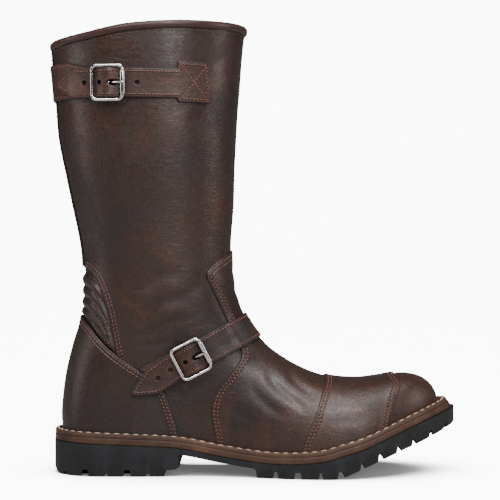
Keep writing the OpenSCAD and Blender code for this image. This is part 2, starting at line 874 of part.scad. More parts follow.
module flex_panel() {
    color("#3d2e29")
        as_one()
            intersection() {
                union() {
                    layer(-leather_t, -0.6);
                    difference() {
                        intersection() {
                            layer(-0.7, 1);
                            union()
                                for (z = rib_starts)
                                    across(concat(
                                        smooth([[-175, z + 3], [-140, z + 3], [-124, z - 1],
                                            [-114, z - 14], [-108, z - 34]], 3),
                                        reversed(smooth([[-175, z + 3 - rib_h], [-140, z + 3 - rib_h],
                                            [-127, z - rib_h], [-118.5, z - 16], [-112, z - 34]], 3))));
                        }
                        under_seam(counter_seam, 0.6);
                    }
                }
                across(flex_area);
            }
}

backstay_half = 11;
backstay_t = 1;

module backstay() {
    color("#44332d")
        as_one()
            intersection() {
                layer(gap, gap + backstay_t);
                whole_cut(binding_h + gap);
                across([[-175, 159], [-110, 159], [-110, 420], [-175, 420]],
                    -backstay_half, backstay_half);
            }
}

module heel_counter() {
    color("#4a352e")
        as_one()
            intersection() {
                layer(gap, gap + overlay_t);
                whole_cut(leather_drop);
                under_seam(counter_seam);
            }
}

module vamp() {
    color("#503b34")
        as_one()
            union() {
                intersection() {
                    layer(-leather_t, vamp_rise, toe_high = 0);
                    whole_cut(leather_drop);
                    in_front(vamp_seam, lap + gap);
                    behind(cap_seam, -gap / 2);
                }
                intersection() {
                    layer(gap, vamp_rise);
                    whole_cut(leather_drop);
                    in_front(vamp_seam);
                    behind(vamp_seam, lap + 1);
                }
            }
}

module toe_band() {
    color("#54403a")
        as_one()
            intersection() {
                layer(gap, gap + overlay_t - 0.3);
                whole_cut(leather_drop);
                in_front(band_rear_seam);
                behind(band_front_seam);
            }
}

module toe_cap() {
    color("#5a433b")
        as_one()
            intersection() {
                layer(-leather_t, 0);
                whole_cut(leather_drop);
                in_front(cap_seam, gap / 2);
            }
}

binding_t = 1.2;

module collar_binding() {
    inside = lining_h - lining_t - gap;
    color("#5b3227")
        as_one()
            difference() {
                intersection() {
                    layer(inside - binding_t, gap + binding_t);
                    whole_cut(0);
                    across(concat(lifted(smooth(collar, 3), -binding_h), [[40, 420], [rear_x, 420]]));
                }
                intersection() {
                    layer(inside, gap);
                    whole_cut(leather_drop - gap);
                }
            }
}

// ---- straps ----

anchor_x = -35;
upper_z = upper_at[0][2];
upper_chape_outer = [[-107, 307.5], [-125, 308.5], [-140, 313], [-175, 316], [-175, 287.5],
    [-140, 286], [-125, 285], [-107, 285.5]];
upper_chape_inner = [[-52, 307.5], [-125, 308.5], [-140, 313], [-175, 316], [-175, 287.5],
    [-140, 286], [-125, 285], [-52, 285.5]];

module upper_strap() {
    color("#5a382d")
        as_one()
            difference() {
                union() {
                    intersection() {
                        layer(gap, gap + strap_t);
                        across([[anchor_x, upper_z + 17], [anchor_x - 23.5, upper_z + 17],
                            [anchor_x - 23.5, upper_z + strap_half], [-84, upper_z + strap_half],
                            [-84, upper_z - strap_half], [anchor_x - 23.5, upper_z - strap_half],
                            [anchor_x - 23.5, upper_z - 13.7], [anchor_x, upper_z - 13.7]], -90, 0);
                    }
                    laid_strap(upper_at, fixed_rows(0.3, upper_tail_h));
                }
                prong_slot(upper_at);
                strap_holes(upper_at, [[-5.6, 0], [21.5, 0]]);
            }
}

upper_tail_rows = [for (r = [[tail_start, 0, strap_half], [-19, 0, strap_half],
    [-25, 0, strap_half], [-29.5, 0, 8.8], [-34, 0, 6], [-38, 0, 3.4], [-40.8, 0, 1.4]])
    concat(r, [upper_tail_h])];

module upper_strap_tail() {
    color("#5f3a2e")
        as_one()
            difference() {
                laid_strap(upper_at, upper_tail_rows);
                strap_holes(upper_at, [[-17.5, 0]]);
            }
}

module upper_chape() {
    color("#503229")
        as_one()
            difference() {
                union() {
                    intersection() {
                        layer(upper_chape_h, upper_chape_h + chape_t);
                        union() {
                            across(upper_chape_outer, -90, 0.1);
                            across(upper_chape_inner, 0, 90);
                        }
                    }
                    chape_loop(upper_at);
                }
                chape_clearance(upper_at);
            }
}

module upper_buckle_frame() {
    color("#c9ccd1")
        buckle_wire(upper_at, upper_tail_h);
}

module upper_prong() {
    color("#d4d7db")
        prong(upper_at);
}

module upper_roller() {
    color("#dfe1e4")
        roller(upper_at);
}

// Edges of the band in which the ankle strap crosses the front, in the side view.
ankle_front = [[22, 135.3], [-35, 108.6], [-25, 89.1], [30, 117.1]];
ankle_inner = [[-33, 109.5], [-100, 78.2], [-85, 58.5], [-23, 90.1]];
ankle_chape_area = [[-55, 99.2], [-45, 79.6], [-52.9, 73.5], [-71, 61.8], [-92, 79.3], [-70, 91.3]];

module ankle_strap() {
    color("#5a382d")
        as_one()
            difference() {
                union() {
                    intersection() {
                        layer(ankle_strap_h, ankle_strap_h + strap_t);
                        across(ankle_front);
                    }
                    intersection() {
                        layer(ankle_strap_h, ankle_strap_h + strap_t);
                        across(ankle_inner, 2, 90);
                        in_front(counter_seam, 0.5);
                    }
                    laid_strap(ankle_at, fixed_rows(ankle_strap_h + 0.1, ankle_tail_h));
                }
                prong_slot(ankle_at);
                strap_holes(ankle_at, [[-4.7, 0]]);
            }
}

ankle_tail_rows = [for (r = [[tail_start, -0.1, strap_half], [-21, -0.8, strap_half],
    [-27, -1.6, strap_half], [-33.5, -2.4, strap_half], [-40, -3, 8], [-46, -3.6, 4.8],
    [-50, -4, 2.6], [-52.5, -4.1, 1.2]]) concat(r, [ankle_tail_h])];

module ankle_strap_tail() {
    color("#5f3a2e")
        as_one()
            difference() {
                laid_strap(ankle_at, ankle_tail_rows);
                strap_holes(ankle_at, [[-17.6, -0.5], [-29.2, -1.9]]);
            }
}

module ankle_chape() {
    color("#503229")
        as_one()
            difference() {
                union() {
                    intersection() {
                        layer(ankle_chape_h, ankle_chape_h + chape_t);
                        across(ankle_chape_area, -90, 0);
                        in_front(counter_seam, 0.5);
                    }
                    chape_loop(ankle_at);
                }
                chape_clearance(ankle_at);
            }
}

module ankle_buckle_frame() {
    color("#c9ccd1")
        buckle_wire(ankle_at, ankle_tail_h);
}

module ankle_prong() {
    color("#d4d7db")
        prong(ankle_at);
}

module ankle_roller() {
    color("#dfe1e4")
        roller(ankle_at);
}

translate(origin_shift) {
    outsole();
    heel_block();
    midsole();
    welt();
    insole_board();
    cork_filler();
    shank();
    heel_nails();
    footbed();
    counter_stiffener();
    toe_puff();
    foot_lining();
    shaft_lining();
    shaft();
    backstay();
    flex_panel();
    flex_padding();
    heel_counter();
    vamp();
    toe_band();
    toe_cap();
    collar_binding();
    upper_strap();
    upper_strap_tail();
    upper_chape();
    upper_buckle_frame();
    upper_prong();
    upper_roller();
    ankle_strap();
    ankle_strap_tail();
    ankle_chape();
    ankle_buckle_frame();
    ankle_prong();
    ankle_roller();
}
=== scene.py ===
import math

import bpy
import numpy as np
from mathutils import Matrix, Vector


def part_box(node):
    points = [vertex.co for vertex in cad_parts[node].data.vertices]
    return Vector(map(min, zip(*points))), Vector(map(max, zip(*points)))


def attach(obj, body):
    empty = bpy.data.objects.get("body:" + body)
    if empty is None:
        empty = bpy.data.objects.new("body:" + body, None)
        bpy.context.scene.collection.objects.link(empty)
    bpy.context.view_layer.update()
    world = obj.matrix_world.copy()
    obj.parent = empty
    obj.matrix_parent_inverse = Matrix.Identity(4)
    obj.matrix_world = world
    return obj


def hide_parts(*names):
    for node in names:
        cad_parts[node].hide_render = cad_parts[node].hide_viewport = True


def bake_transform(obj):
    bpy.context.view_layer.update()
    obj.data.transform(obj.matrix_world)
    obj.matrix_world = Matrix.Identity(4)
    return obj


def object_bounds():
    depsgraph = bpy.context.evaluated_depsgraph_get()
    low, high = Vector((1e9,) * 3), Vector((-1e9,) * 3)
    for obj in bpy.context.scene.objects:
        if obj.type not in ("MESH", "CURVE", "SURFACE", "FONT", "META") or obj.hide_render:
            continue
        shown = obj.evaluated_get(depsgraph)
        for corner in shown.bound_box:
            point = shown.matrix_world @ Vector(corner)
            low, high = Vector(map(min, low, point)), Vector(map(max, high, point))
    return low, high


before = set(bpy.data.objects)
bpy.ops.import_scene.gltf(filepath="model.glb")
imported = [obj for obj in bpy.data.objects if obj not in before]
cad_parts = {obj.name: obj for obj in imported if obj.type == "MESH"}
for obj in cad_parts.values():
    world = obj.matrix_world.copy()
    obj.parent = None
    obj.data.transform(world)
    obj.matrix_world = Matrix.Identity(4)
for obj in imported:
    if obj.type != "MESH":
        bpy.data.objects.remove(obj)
cad_box = [list(map(float, c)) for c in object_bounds()]

# ------------------------------------------------------------------ frame
# Design lengths are in mm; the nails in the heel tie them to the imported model.
MM = 0.001
NAILS_X, NAILS_LOW_Z = -111.0, 9.0
nails_lo, nails_hi = (np.array(c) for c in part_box("heel_nails"))
SHIFT = np.array([(nails_lo[0] + nails_hi[0]) / 2 - NAILS_X * MM,
                  (nails_lo[1] + nails_hi[1]) / 2, nails_lo[2] - NAILS_LOW_Z * MM])


def metres(p):
    return np.asarray(p, float) * MM + SHIFT


# ------------------------------------------------------------------ curves
def at(rows, u):
    """Smooth values at u of equally spaced rows."""
    rows = np.asarray(rows, float)
    n = len(rows) - 1
    u = np.asarray(u, float)
    i = np.clip(np.floor(u).astype(int), 0, n - 1)
    f = u - i
    if rows.ndim > 1:
        f = f[..., None]
    a, b, c, d = rows[np.maximum(i - 1, 0)], rows[i], rows[i + 1], rows[np.minimum(i + 2, n)]
    return b + 0.5 * f * ((c - a) + f * ((2 * a - 5 * b + 4 * c - d) + f * (3 * (b - c) + d - a)))


def curve(table, x):
    """Smooth value at x from a table of (x, value) rows."""
    t = np.asarray(table, float)
    x = np.asarray(x, float)
    i = np.clip(np.searchsorted(t[:, 0], x, side="right") - 1, 0, len(t) - 2)
    s = np.empty(len(t))
    s[1:-1] = (t[2:, 1] - t[:-2, 1]) / (t[2:, 0] - t[:-2, 0])
    s[0] = (t[1, 1] - t[0, 1]) / (t[1, 0] - t[0, 0])
    s[-1] = (t[-1, 1] - t[-2, 1]) / (t[-1, 0] - t[-2, 0])
    h = t[i + 1, 0] - t[i, 0]
    f = np.clip((x - t[i, 0]) / h, 0, 1)
    f2, f3 = f * f, f * f * f
    return (t[i, 1] * (2 * f3 - 3 * f2 + 1) + t[i + 1, 1] * (3 * f2 - 2 * f3)
            + s[i] * h * (f3 - 2 * f2 + f) + s[i + 1] * h * (f3 - f2))


def smooth(points, steps=10):
    return at(points, np.arange((len(points) - 1) * steps + 1) / steps)


def mix(a, b, k):
    return a + (b - a) * k


def ease(q):
    f = np.clip(q, 0, 1)
    return f * f * (3 - 2 * f)


def closing(q, n):
    q = np.clip(q, 0, 1)
    return np.power(1 - np.power(1 - q, n), 1 / n)


def xz(q):
    """Side-view coordinates of points."""
    return q[..., 0], q[..., 2]


def unit(v):
    return v / np.maximum(np.linalg.norm(v, axis=-1, keepdims=True), 1e-12)


# ------------------------------------------------------------------ design tables (mm)
SOLE_OUTER = [(-156, 39), (-120, 39), (-90, 39.5), (-60, 38), (-30, 39), (0, 45.5), (30, 54),
              (55, 57.5), (80, 57), (105, 54), (130, 50), (156, 46)]
SOLE_INNER = [(-156, 39), (-120, 39), (-90, 38.5), (-60, 35), (-30, 32), (0, 34.5), (30, 43),
              (55, 50), (80, 52), (105, 50), (130, 46), (156, 42)]
MIDDLE = [(-156, 0), (0, 0), (30, 0.5), (60, 2), (100, 5), (156, 8.5)]
WELT_TOP = [(-160, 34), (-120, 32.8), (-90, 31.6), (-58, 29.6), (-24, 23.4), (12, 19.3),
            (48, 21), (66, 25.8), (83, 31), (105, 40.4), (121, 47), (140, 53.8), (160, 60)]
TREAD = [(-4, 0), (56, 0), (66, 1.4), (79, 6.8), (97, 14.6), (112, 20.8), (127, 26.4),
         (141, 32), (160, 39.5)]
BACK_LINE = [(10, -148), (30, -148.4), (44, -149.4), (60, -148.2), (80, -145.3), (97, -140.6),
             (114, -135.4), (132, -133.3), (150, -133.3), (170, -134.8), (195, -139), (225, -145.2),
             (252, -150.6), (279, -153.4), (306, -156), (330, -157.8), (356, -159.4)]
BACK_ROUND = [(10, 34), (40, 35), (70, 39), (100, 45), (130, 52), (170, 58), (225, 64),
              (280, 70), (356, 76)]
SHAFT_HALF = [(10, 34), (50, 35.5), (75, 37.5), (100, 39.8), (130, 42), (160, 44.2), (200, 48.5),
              (240, 53), (280, 56.2), (320, 58), (356, 58.8)]
# Rings along the upper: front x, front z, back x, back z, front rounding length, its power.
RINGS = np.array([
    [-7, 356, -159.4, 356, 76, 2.1], [-8.4, 336, -158.2, 336, 75, 2.1],
    [-10.8, 310, -156.3, 310, 74, 2.1], [-12.9, 284, -153.8, 284, 71, 2.1],
    [-14.6, 255, -151, 255, 68, 2.1], [-15.9, 225, -145.2, 225, 65, 2.1],
    [-17.4, 198, -139.6, 198, 62, 2.1], [-18.5, 176, -135.6, 174, 60, 2.1],
    [-18.6, 159, -133.4, 154, 59, 2.1], [-17.8, 147, -133.3, 134, 58, 2.1],
    [-16.2, 138, -135.2, 115, 57, 2.1], [-14.2, 131, -140.6, 97, 57, 2.1],
    [-12, 125, -145.3, 80, 57, 2.1], [-9.4, 119.5, -148.2, 60, 57, 2.15],
    [-6.2, 114.5, -149.4, 44, 57, 2.2], [-3.2, 110, -148.3, 28, 57, 2.2],
    [0.4, 105.5, -146, 14.5, 57, 2.2], [4.5, 101, -121, 12.8, 58, 2.2],
    [10, 95.5, -90, 11.6, 58, 2.2], [17, 90.3, -56, 7.6, 58, 2.2],
    [27, 84.2, -22, 3.2, 57, 2.2], [39, 78.2, 12, 0, 55, 2.25],
    [53, 73.6, 40, 0.2, 51, 2.3], [68, 71.2, 62, 4.8, 47, 2.35],
    [82, 70.8, 80, 10.2, 44, 2.4], [95, 72.5, 94, 15.8, 42, 2.4],
    [107, 74.6, 107, 21.6, 38, 2.4], [117, 75.5, 118, 26, 34, 2.4],
    [126, 74, 127, 29.4, 29, 2.35], [133, 70.8, 134, 32, 23, 2.3],
    [138.2, 66, 139, 33.6, 16.5, 2.2], [141.6, 60.6, 142, 34.6, 9.5, 2.1]])
RING_LAST = len(RINGS) - 1
FAR = 1e9
HEEL_X, SHEET_TOE_X, UPPER_TOE_X = -156.0, 156.0, 149.4
HEEL_ROUND, TOE_ROUND, TOE_POWER = 40.0, 74.0, 2.2
WELT_T, MIDSOLE_T, SHEET_T, GROOVE = 3.6, 5.0, 4.6, 5.0
UPPER_INSET, UNDER = 6.5, 16.0
SOLE_DROP = WELT_T + MIDSOLE_T + 0.1


def welt_z(x):
    return curve(WELT_TOP, x)


def foot_z(x):
    return np.where(x < 0, 0.0, curve(TREAD, x))


def by_side(x, side):
    return np.where(side < 0, curve(SOLE_OUTER, x), curve(SOLE_INNER, x))


def sole_y(x, side, inset, toe):
    return (curve(MIDDLE, x) + side * (by_side(x, side) - inset)
            * closing((x - HEEL_X - inset) / HEEL_ROUND, 2.1)
            * closing((toe - inset - x) / TOE_ROUND, TOE_POWER))


def half_width(x, z, side):
    foot = ((by_side(x, side) - UPPER_INSET)
            * closing((UPPER_TOE_X - UPPER_INSET - x) / TOE_ROUND, TOE_POWER))
    low = np.maximum(0, welt_z(x) - WELT_T - z) / UNDER
    return (mix(foot, curve(SHAFT_HALF, z), ease((z - 55) / 90) * np.where(x < 60, 1, 0.6))
            * closing((x - curve(BACK_LINE, z)) / curve(BACK_ROUND, z), 2.1)
            * np.sqrt(np.maximum(0, 1 - low * low)))


# The rings close to an upright line at the tip of the toe.
TOE_TIP = 142.88
ALL_RINGS = np.vstack([RINGS, [[TOE_TIP, 56.5, TOE_TIP, 36.5, 7, 2.1]]])


def surface(u, turn):
    """Outer face of the leather. turn: 0 in front, 90 on the outer side, 180 at the back."""
    turn = np.asarray(turn, float) % 360.0
    r = at(ALL_RINGS, np.clip(u, 0, RING_LAST + 1))
    t = (1 - np.cos(np.radians(turn))) / 2
    side = np.where(turn < 180, -1.0, 1.0)
    length = np.hypot(r[..., 0] - r[..., 2], r[..., 1] - r[..., 3])
    x = np.minimum(mix(r[..., 0], r[..., 2], t), TOE_TIP)
    z = mix(r[..., 1], r[..., 3], t)
    half = half_width(x, z, side) * closing(t * length / r[..., 4], r[..., 5])
    half = np.maximum(half, 0.02 * np.sin(np.pi * t))
    return np.stack([x, curve(MIDDLE, x) + side * half, z], -1)


def normals(u, turn, du=0.04, dt=1.5):
    u = np.clip(u, du, RING_LAST + 1 - du)
    a = surface(u + du, turn) - surface(u - du, turn)
    b = surface(u, turn + dt) - surface(u, turn - dt)
    return unit(np.cross(b, a))


def place_in_side(x, z, side=-1):
    """(u, turn) of points of the side view."""
    x, z = np.broadcast_arrays(np.asarray(x, float), np.asarray(z, float))
    a, b = np.zeros(x.shape), np.full(x.shape, float(RING_LAST))
    for _ in range(24):
        u = (a + b) / 2
        r = at(ALL_RINGS, u)
        s = (r[..., 2] - r[..., 0]) * (z - r[..., 1]) - (r[..., 3] - r[..., 1]) * (x - r[..., 0])
        a, b = np.where(s > 0, u, a), np.where(s > 0, b, u)
    u = (a + b) / 2
    r = at(ALL_RINGS, u)
    t = (np.hypot(x - r[..., 0], z - r[..., 1])
         / np.hypot(r[..., 2] - r[..., 0], r[..., 3] - r[..., 1]))
    turn = np.degrees(np.arccos(np.clip(1 - 2 * t, -1, 1)))
    return u, (turn if side < 0 else 360 - turn)


# ------------------------------------------------------------------ seams in the side view
COLLAR = smooth([(-200, 329), (-170, 331), (-157, 332), (-140, 333.8), (-127, 335.6), (-111, 338.5),
                 (-93, 341.2), (-60, 343.4), (-30, 344.2), (-8, 344.8), (10, 345), (60, 345.5)])
COUNTER_SEAM = np.vstack([[(-220, 124)], smooth(
    [(-146, 124), (-135.4, 121.5), (-127, 114), (-118.4, 103.5), (-109, 94.6), (-98.5, 86.8),
     (-89.4, 80.8), (-78, 72.5), (-69.7, 63.6), (-64.4, 50.8), (-59.6, 36), (-57, 20)]),
    [(-55, -40)]])
FLEX_SEAM = np.vstack([[(-220, 157.5)], smooth(
    [(-146, 157.5), (-130.6, 157), (-122.7, 149.5), (-118.4, 142), (-114.7, 132),
     (-112.3, 124), (-109.5, 110), (-106, 92), (-103, 78)]), [(-90, 0)]])
VAMP_SEAM = np.vstack([[(60, 190)], smooth(
    [(4, 177.5), (-14.6, 173.8), (-25.5, 165.4), (-33.6, 158.6), (-37.2, 152.5), (-34.4, 144),
     (-28.4, 131), (-22.3, 118), (-15, 103), (-10.9, 94), (-11.8, 87), (-20.6, 75), (-28, 66),
     (-32.4, 55), (-33.2, 43.5), (-30.6, 30), (-28, 14)]), [(-22, -40)]])
BAND_REAR = np.vstack([[(60, 140)], smooth(
    [(56, 96), (54, 76), (53.6, 70), (48.1, 54.8), (44, 43), (38.7, 31.7), (33, 14)]), [(20, -30)]])
BAND_FRONT = np.vstack([[(100, 150)], smooth(
    [(106, 96), (108.4, 76), (111.3, 70), (110.6, 64.5), (107.7, 59.6), (104.6, 52), (101.9, 44),
     (99, 30)]), [(92, -20)]])


def to_segments(line, x, z):
    """For each segment of a line: its start and end, and the distance of the points to it."""
    for (ax, az), (bx, bz) in zip(line[:-1], line[1:]):
        dx, dz = bx - ax, bz - az
        f = np.clip(((x - ax) * dx + (z - az) * dz) / (dx * dx + dz * dz), 0, 1)
        yield ax, az, bx, bz, np.hypot(x - ax - f * dx, z - az - f * dz)


def beside(line, x, z):
    """Distance to a line of the side view, positive on its left."""
    best = np.full(x.shape, FAR)
    sign = np.ones(x.shape)
    for ax, az, bx, bz, d in to_segments(line, x, z):
        nearer = d < best - 1e-9
        best = np.where(nearer, d, best)
        left = (bx - ax) * (z - az) - (bz - az) * (x - ax) > 0
        sign = np.where(nearer, np.where(left, 1.0, -1.0), sign)
    return best * sign


def inside(polygon, x, z):
    """Distance to the outline of a polygon, positive inside."""
    best = np.full(x.shape, FAR)
    odd = np.zeros(x.shape, bool)
    for ax, az, bx, bz, d in to_segments(np.vstack([polygon, polygon[:1]]), x, z):
        best = np.minimum(best, d)
        if az != bz:
            odd ^= ((az > z) != (bz > z)) & (x < ax + (z - az) * (bx - ax) / (bz - az))
    return np.where(odd, best, -best)


# ------------------------------------------------------------------ meshes
def make(name, verts, faces, material, body="boot", nodes=(), attrs=None, sharp=None):
    """A smooth-shaded mesh from points in mm; faces is a list of index arrays."""
    mesh = bpy.data.meshes.new(name)
    mesh.from_pydata(metres(verts).tolist(), [], [f for part in faces for f in part.tolist()])
    mesh.polygons.foreach_set("use_smooth", [True] * len(mesh.polygons))
    for key, values in (attrs or {}).items():
        mesh.attributes.new(key, "FLOAT", "POINT").data.foreach_set(
            "value", np.asarray(values, np.float32))
    if sharp:
        mesh.set_sharp_from_angle(angle=math.radians(sharp))
    mesh.materials.append(material)
    piece = bpy.data.objects.new(name, mesh)
    bpy.context.scene.collection.objects.link(piece)
    if body:
        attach(piece, body)
    if nodes:
        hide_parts(*nodes)
    return piece


def grid(m, n):
    """Row and column of every place in a grid."""
    return (v.ravel() for v in np.meshgrid(np.arange(m), np.arange(n), indexing="ij"))


def ring_faces(m, n):
    """Quads between m rows of n points, closed both ways."""
    i, j = grid(m, n)
    k, l = (i + 1) % m, (j + 1) % n
    return np.stack([i * n + j, k * n + j, k * n + l, i * n + l], 1)


def plain_edges(count):
    """Shader values of a piece without a cut or sewn edge."""
    return {"edge": np.full(count, 20.0), "rim": np.full(count, 9.0)}


def net(u0, u1, turn0, turn1, step):
    """Points (u, turn) and triangles of a patch of the surface."""
    fine = np.linspace(u0, u1, 700)
    turns = np.linspace(turn0, turn1, 9)
    gone = np.linalg.norm(np.diff(surface(fine[:, None], turns[None]), axis=0), axis=-1).max(1)
    s = np.concatenate([[0], np.cumsum(gone)])
    rows = np.interp(np.linspace(0, s[-1], int(s[-1] / step) + 2), s, fine)
    whole = turn1 - turn0 >= 360
    n = int(440 / step * (turn1 - turn0) / 360) + 1
    cols = turn0 + (turn1 - turn0) * np.arange(n if whole else n + 1) / n
    a, b = np.meshgrid(rows, cols, indexing="ij")
    m = len(cols)
    i, j = grid(len(rows) - 1, m if whole else m - 1)
    k = (j + 1) % m
    p, q, r, t = i * m + j, (i + 1) * m + j, (i + 1) * m + k, i * m + k
    even = ((i + j) % 2 == 0)[:, None]
    one = np.where(even, np.stack([p, q, r], 1), np.stack([p, q, t], 1))
    two = np.where(even, np.stack([p, r, t], 1), np.stack([q, r, t], 1))
    return np.stack([a.ravel(), b.ravel()], 1), np.vstack([one, two])


def crossings(points, tris, col, level, wrap):
    """Triangles that cross a level of one column, with the new points on their sides."""
    f = points[:, col]
    above = f > level
    count = above[tris].sum(1)
    cross = tris[(count == 1) | (count == 2)]
    lone = np.where((above[cross].sum(1) == 1)[:, None], above[cross], ~above[cross])
    k = lone.argmax(1)
    row = np.arange(len(cross))
    a, b, c = cross[row, k], cross[row, (k + 1) % 3], cross[row, (k + 2) % 3]
    ends = np.vstack([np.sort(np.stack([a, b], 1)), np.sort(np.stack([a, c], 1))])
    codes, back = np.unique(ends[:, 0] * (len(points) + 1) + ends[:, 1], return_inverse=True)
    i, j = codes // (len(points) + 1), codes % (len(points) + 1)
    w = np.clip((level - f[i]) / (f[j] - f[i]), 0.02, 0.98)[:, None]
    step = points[j] - points[i]
    if wrap:
        step[:, 1] = (step[:, 1] + 180) % 360 - 180
    new = points[i] + w * step
    new[:, col] = level
    return count, a, b, c, new, back.ravel()


def cut(points, tris, level, col=2, drop=False, wrap=True):
    """Splits the triangles along a level; with drop, only what lies above it stays."""
    count, a, b, c, new, back = crossings(points, tris, col, level, wrap)
    ids = len(points) + back
    ab, ac = ids[:len(a)], ids[len(a):]
    points = np.vstack([points, new])
    tris = np.vstack([tris[(count == 0) | (count == 3)], np.stack([a, ab, ac], 1),
                      np.stack([ab, b, c], 1), np.stack([ab, c, ac], 1)])
    if drop:
        tris = tris[points[tris, col].max(1) > level]
    used, tris = np.unique(tris, return_inverse=True)
    return points[used], tris.reshape(-1, 3)


def contour(points, tris, level, col=2, wrap=True):
    """Chains of points along a level."""
    if not len(tris):
        return []
    _, a, _, _, new, back = crossings(points, tris, col, level, wrap)
    links = {}
    for p, q in zip(back[:len(a)].tolist(), back[len(a):].tolist()):
        links.setdefault(p, []).append(q)
        links.setdefault(q, []).append(p)
    chains, seen = [], set()
    for start in sorted(links, key=lambda p: (len(links[p]) != 1, p)):
        if start in seen:
            continue
        chain = [start]
        seen.add(start)
        while True:
            onward = [q for q in links[chain[-1]] if q not in seen]
            if not onward:
                break
            chain.append(onward[0])
            seen.add(onward[0])
        if len(chain) > 3:
            if len(links[start]) == 2 and start in links[chain[-1]]:
                chain.append(start)
            chains.append(new[chain])
    return chains


def rim_of(tris):
    """Boundary edges of a triangle mesh, as directed pairs."""
    e = np.vstack([tris[:, [0, 1]], tris[:, [1, 2]], tris[:, [2, 0]]])
    n = int(e.max()) + 1
    code, twin = e[:, 0] * n + e[:, 1], e[:, 1] * n + e[:, 0]
    return e[~np.isin(code, twin)]


def creases(q):
    """Height of the folds and the slack of the leather, at points in mm."""
    x, y, z = q[..., 0], q[..., 1], q[..., 2]
    inner = y > 0
    total = np.zeros(x.shape)
    for (x0, z0, x1, z1, deep, width) in FOLDS:
        x0, x1 = np.where(inner, x0 + 4, x0), np.where(inner, x1 + 7, x1)
        z0, z1 = np.where(inner, z0 - 3, z0), np.where(inner, z1 + 5, z1)
        dx, dz = x1 - x0, z1 - z0
        length = np.hypot(dx, dz)
        s = ((x - x0) * dx + (z - z0) * dz) / length
        d = ((z - z0) * dx - (x - x0) * dz) / length + 2.2 * np.sin(s / 9.0)
        along = ease(s / length * 3) * ease((1 - s / length) * 3)
        total += along * deep * (-np.exp(-(d / width) ** 2)
                                 + 0.55 * np.exp(-((d - 2.2 * width) / (1.5 * width)) ** 2)
                                 + 0.35 * np.exp(-((d + 2.2 * width) / (1.5 * width)) ** 2))
    slack = (np.sin(x / 17 + 1.3 * np.sin(z / 31) + 0.8) * np.sin(z / 23 + np.sin(y / 19) + 0.3)
             + 0.6 * np.sin(x / 9.5 + z / 14.5 + 2) * np.sin(y / 12.5 - z / 19))
    calm = ease((z - 60) / 40) * (1 - 0.6 * ease((z - 290) / 40))
    total += 0.42 * slack * (0.3 + 0.7 * calm)
    for x0, z0 in FLAT_SPOTS:
        away = ease((np.hypot(x - x0, z - z0) - FLAT_R) / FLAT_FADE)
        total *= np.where(inner, 1, mix(FLAT_REST, 1, away))
    return total


# Middles of the two buckles, where the leather stays flat, and how far it does.
FLAT_SPOTS = [(-108.7, 296.5), (-47, 90.5)]
FLAT_R, FLAT_FADE, FLAT_REST = 15.0, 14.0, 0.15
# Folds: from (x, z) to (x, z) in the side view, depth and half width.
FOLDS = [(-104, 120, -46, 136, 0.95, 4.2), (-98, 106, -44, 120, 0.8, 3.6),
         (-106, 140, -50, 156, 0.6, 4.5), (-92, 100, -60, 104, 0.5, 2.6),
         (-58, 134, -20, 168, 0.5, 4.5), (-30, 143, 2, 140, 0.4, 3), (-34, 156, -4, 160, 0.35, 3),
         (-6, 74, 22, 40, 0.55, 3.4),
         (6, 82, 40, 44, 0.65, 3.2), (22, 80, 46, 60, 0.45, 2.8), (-20, 58, 8, 36, 0.4, 3),
         (-70, 70, -50, 60, 0.25, 2.6), (60, 66, 92, 60, 0.22, 3.5)]


def panel(name, patch, f_of, low, high, material, nodes, edge=0.9, body="boot",
          stitched=None):
    """A leather piece with thickness and rounded edges, and its cut net for the stitching.

    f_of gives the distance inside the outline, low and high the heights of the two faces,
    stitched the distance to the edge that is sewn.
    """
    points, tris = patch
    where = surface(points[:, 0], points[:, 1])
    f = f_of(where, points)
    points = np.column_stack([points, f])
    near = (f[tris] > -6).any(1)
    used, tris = np.unique(tris[near], return_inverse=True)
    points, tris = cut(points[used], tris.reshape(-1, 3), 0.0, drop=True)
    for level in (0.14 * edge, 0.45 * edge, edge):
        points, tris = cut(points, tris, level)
    q = surface(points[:, 0], points[:, 1])
    n = normals(points[:, 0], points[:, 1])
    f = points[:, 2]
    lo_h = low(q, points) if callable(low) else np.full(len(q), float(low))
    hi_h = high(q, points) if callable(high) else np.full(len(q), float(high))
    mid = mix(lo_h, hi_h, 0.45)
    sag = creases(q)
    top = mid + (hi_h - mid) * closing(f / edge, 2.2) + sag
    bottom = mid - (mid - lo_h) * closing(f / (0.6 * edge), 2) + sag
    corner = q[tris]
    out = np.cross(corner[:, 1] - corner[:, 0], corner[:, 2] - corner[:, 0])
    facing = np.einsum("ij,ij->i", out, n[tris[:, 0]])
    if facing.sum() < 0:
        tris = tris[:, ::-1]
    rim = f <= 1e-9
    other = np.where(rim, np.arange(len(q)), len(q) + np.cumsum(~rim) - 1)
    verts = np.vstack([q + n * top[:, None], (q + n * bottom[:, None])[~rim]])
    distance = stitched(q, points) if stitched else f
    edge_mm = np.concatenate([distance, distance[~rim]])
    under = np.concatenate([np.zeros(len(q)), np.ones((~rim).sum())])
    made = make(name, verts, [tris, other[tris][:, ::-1]], material, body, nodes,
                {"edge": edge_mm, "rim": np.concatenate([f, f[~rim]]), "under": under})
    return made, (points, tris, hi_h)


def on_top(chain, high):
    """Points, outward directions of a chain of (u, turn) at a height over the leather."""
    q = surface(chain[:, 0], chain[:, 1])
    n = normals(chain[:, 0], chain[:, 1])
    h = high(q, chain) if callable(high) else high
    return q + n * (h + creases(q))[:, None], n


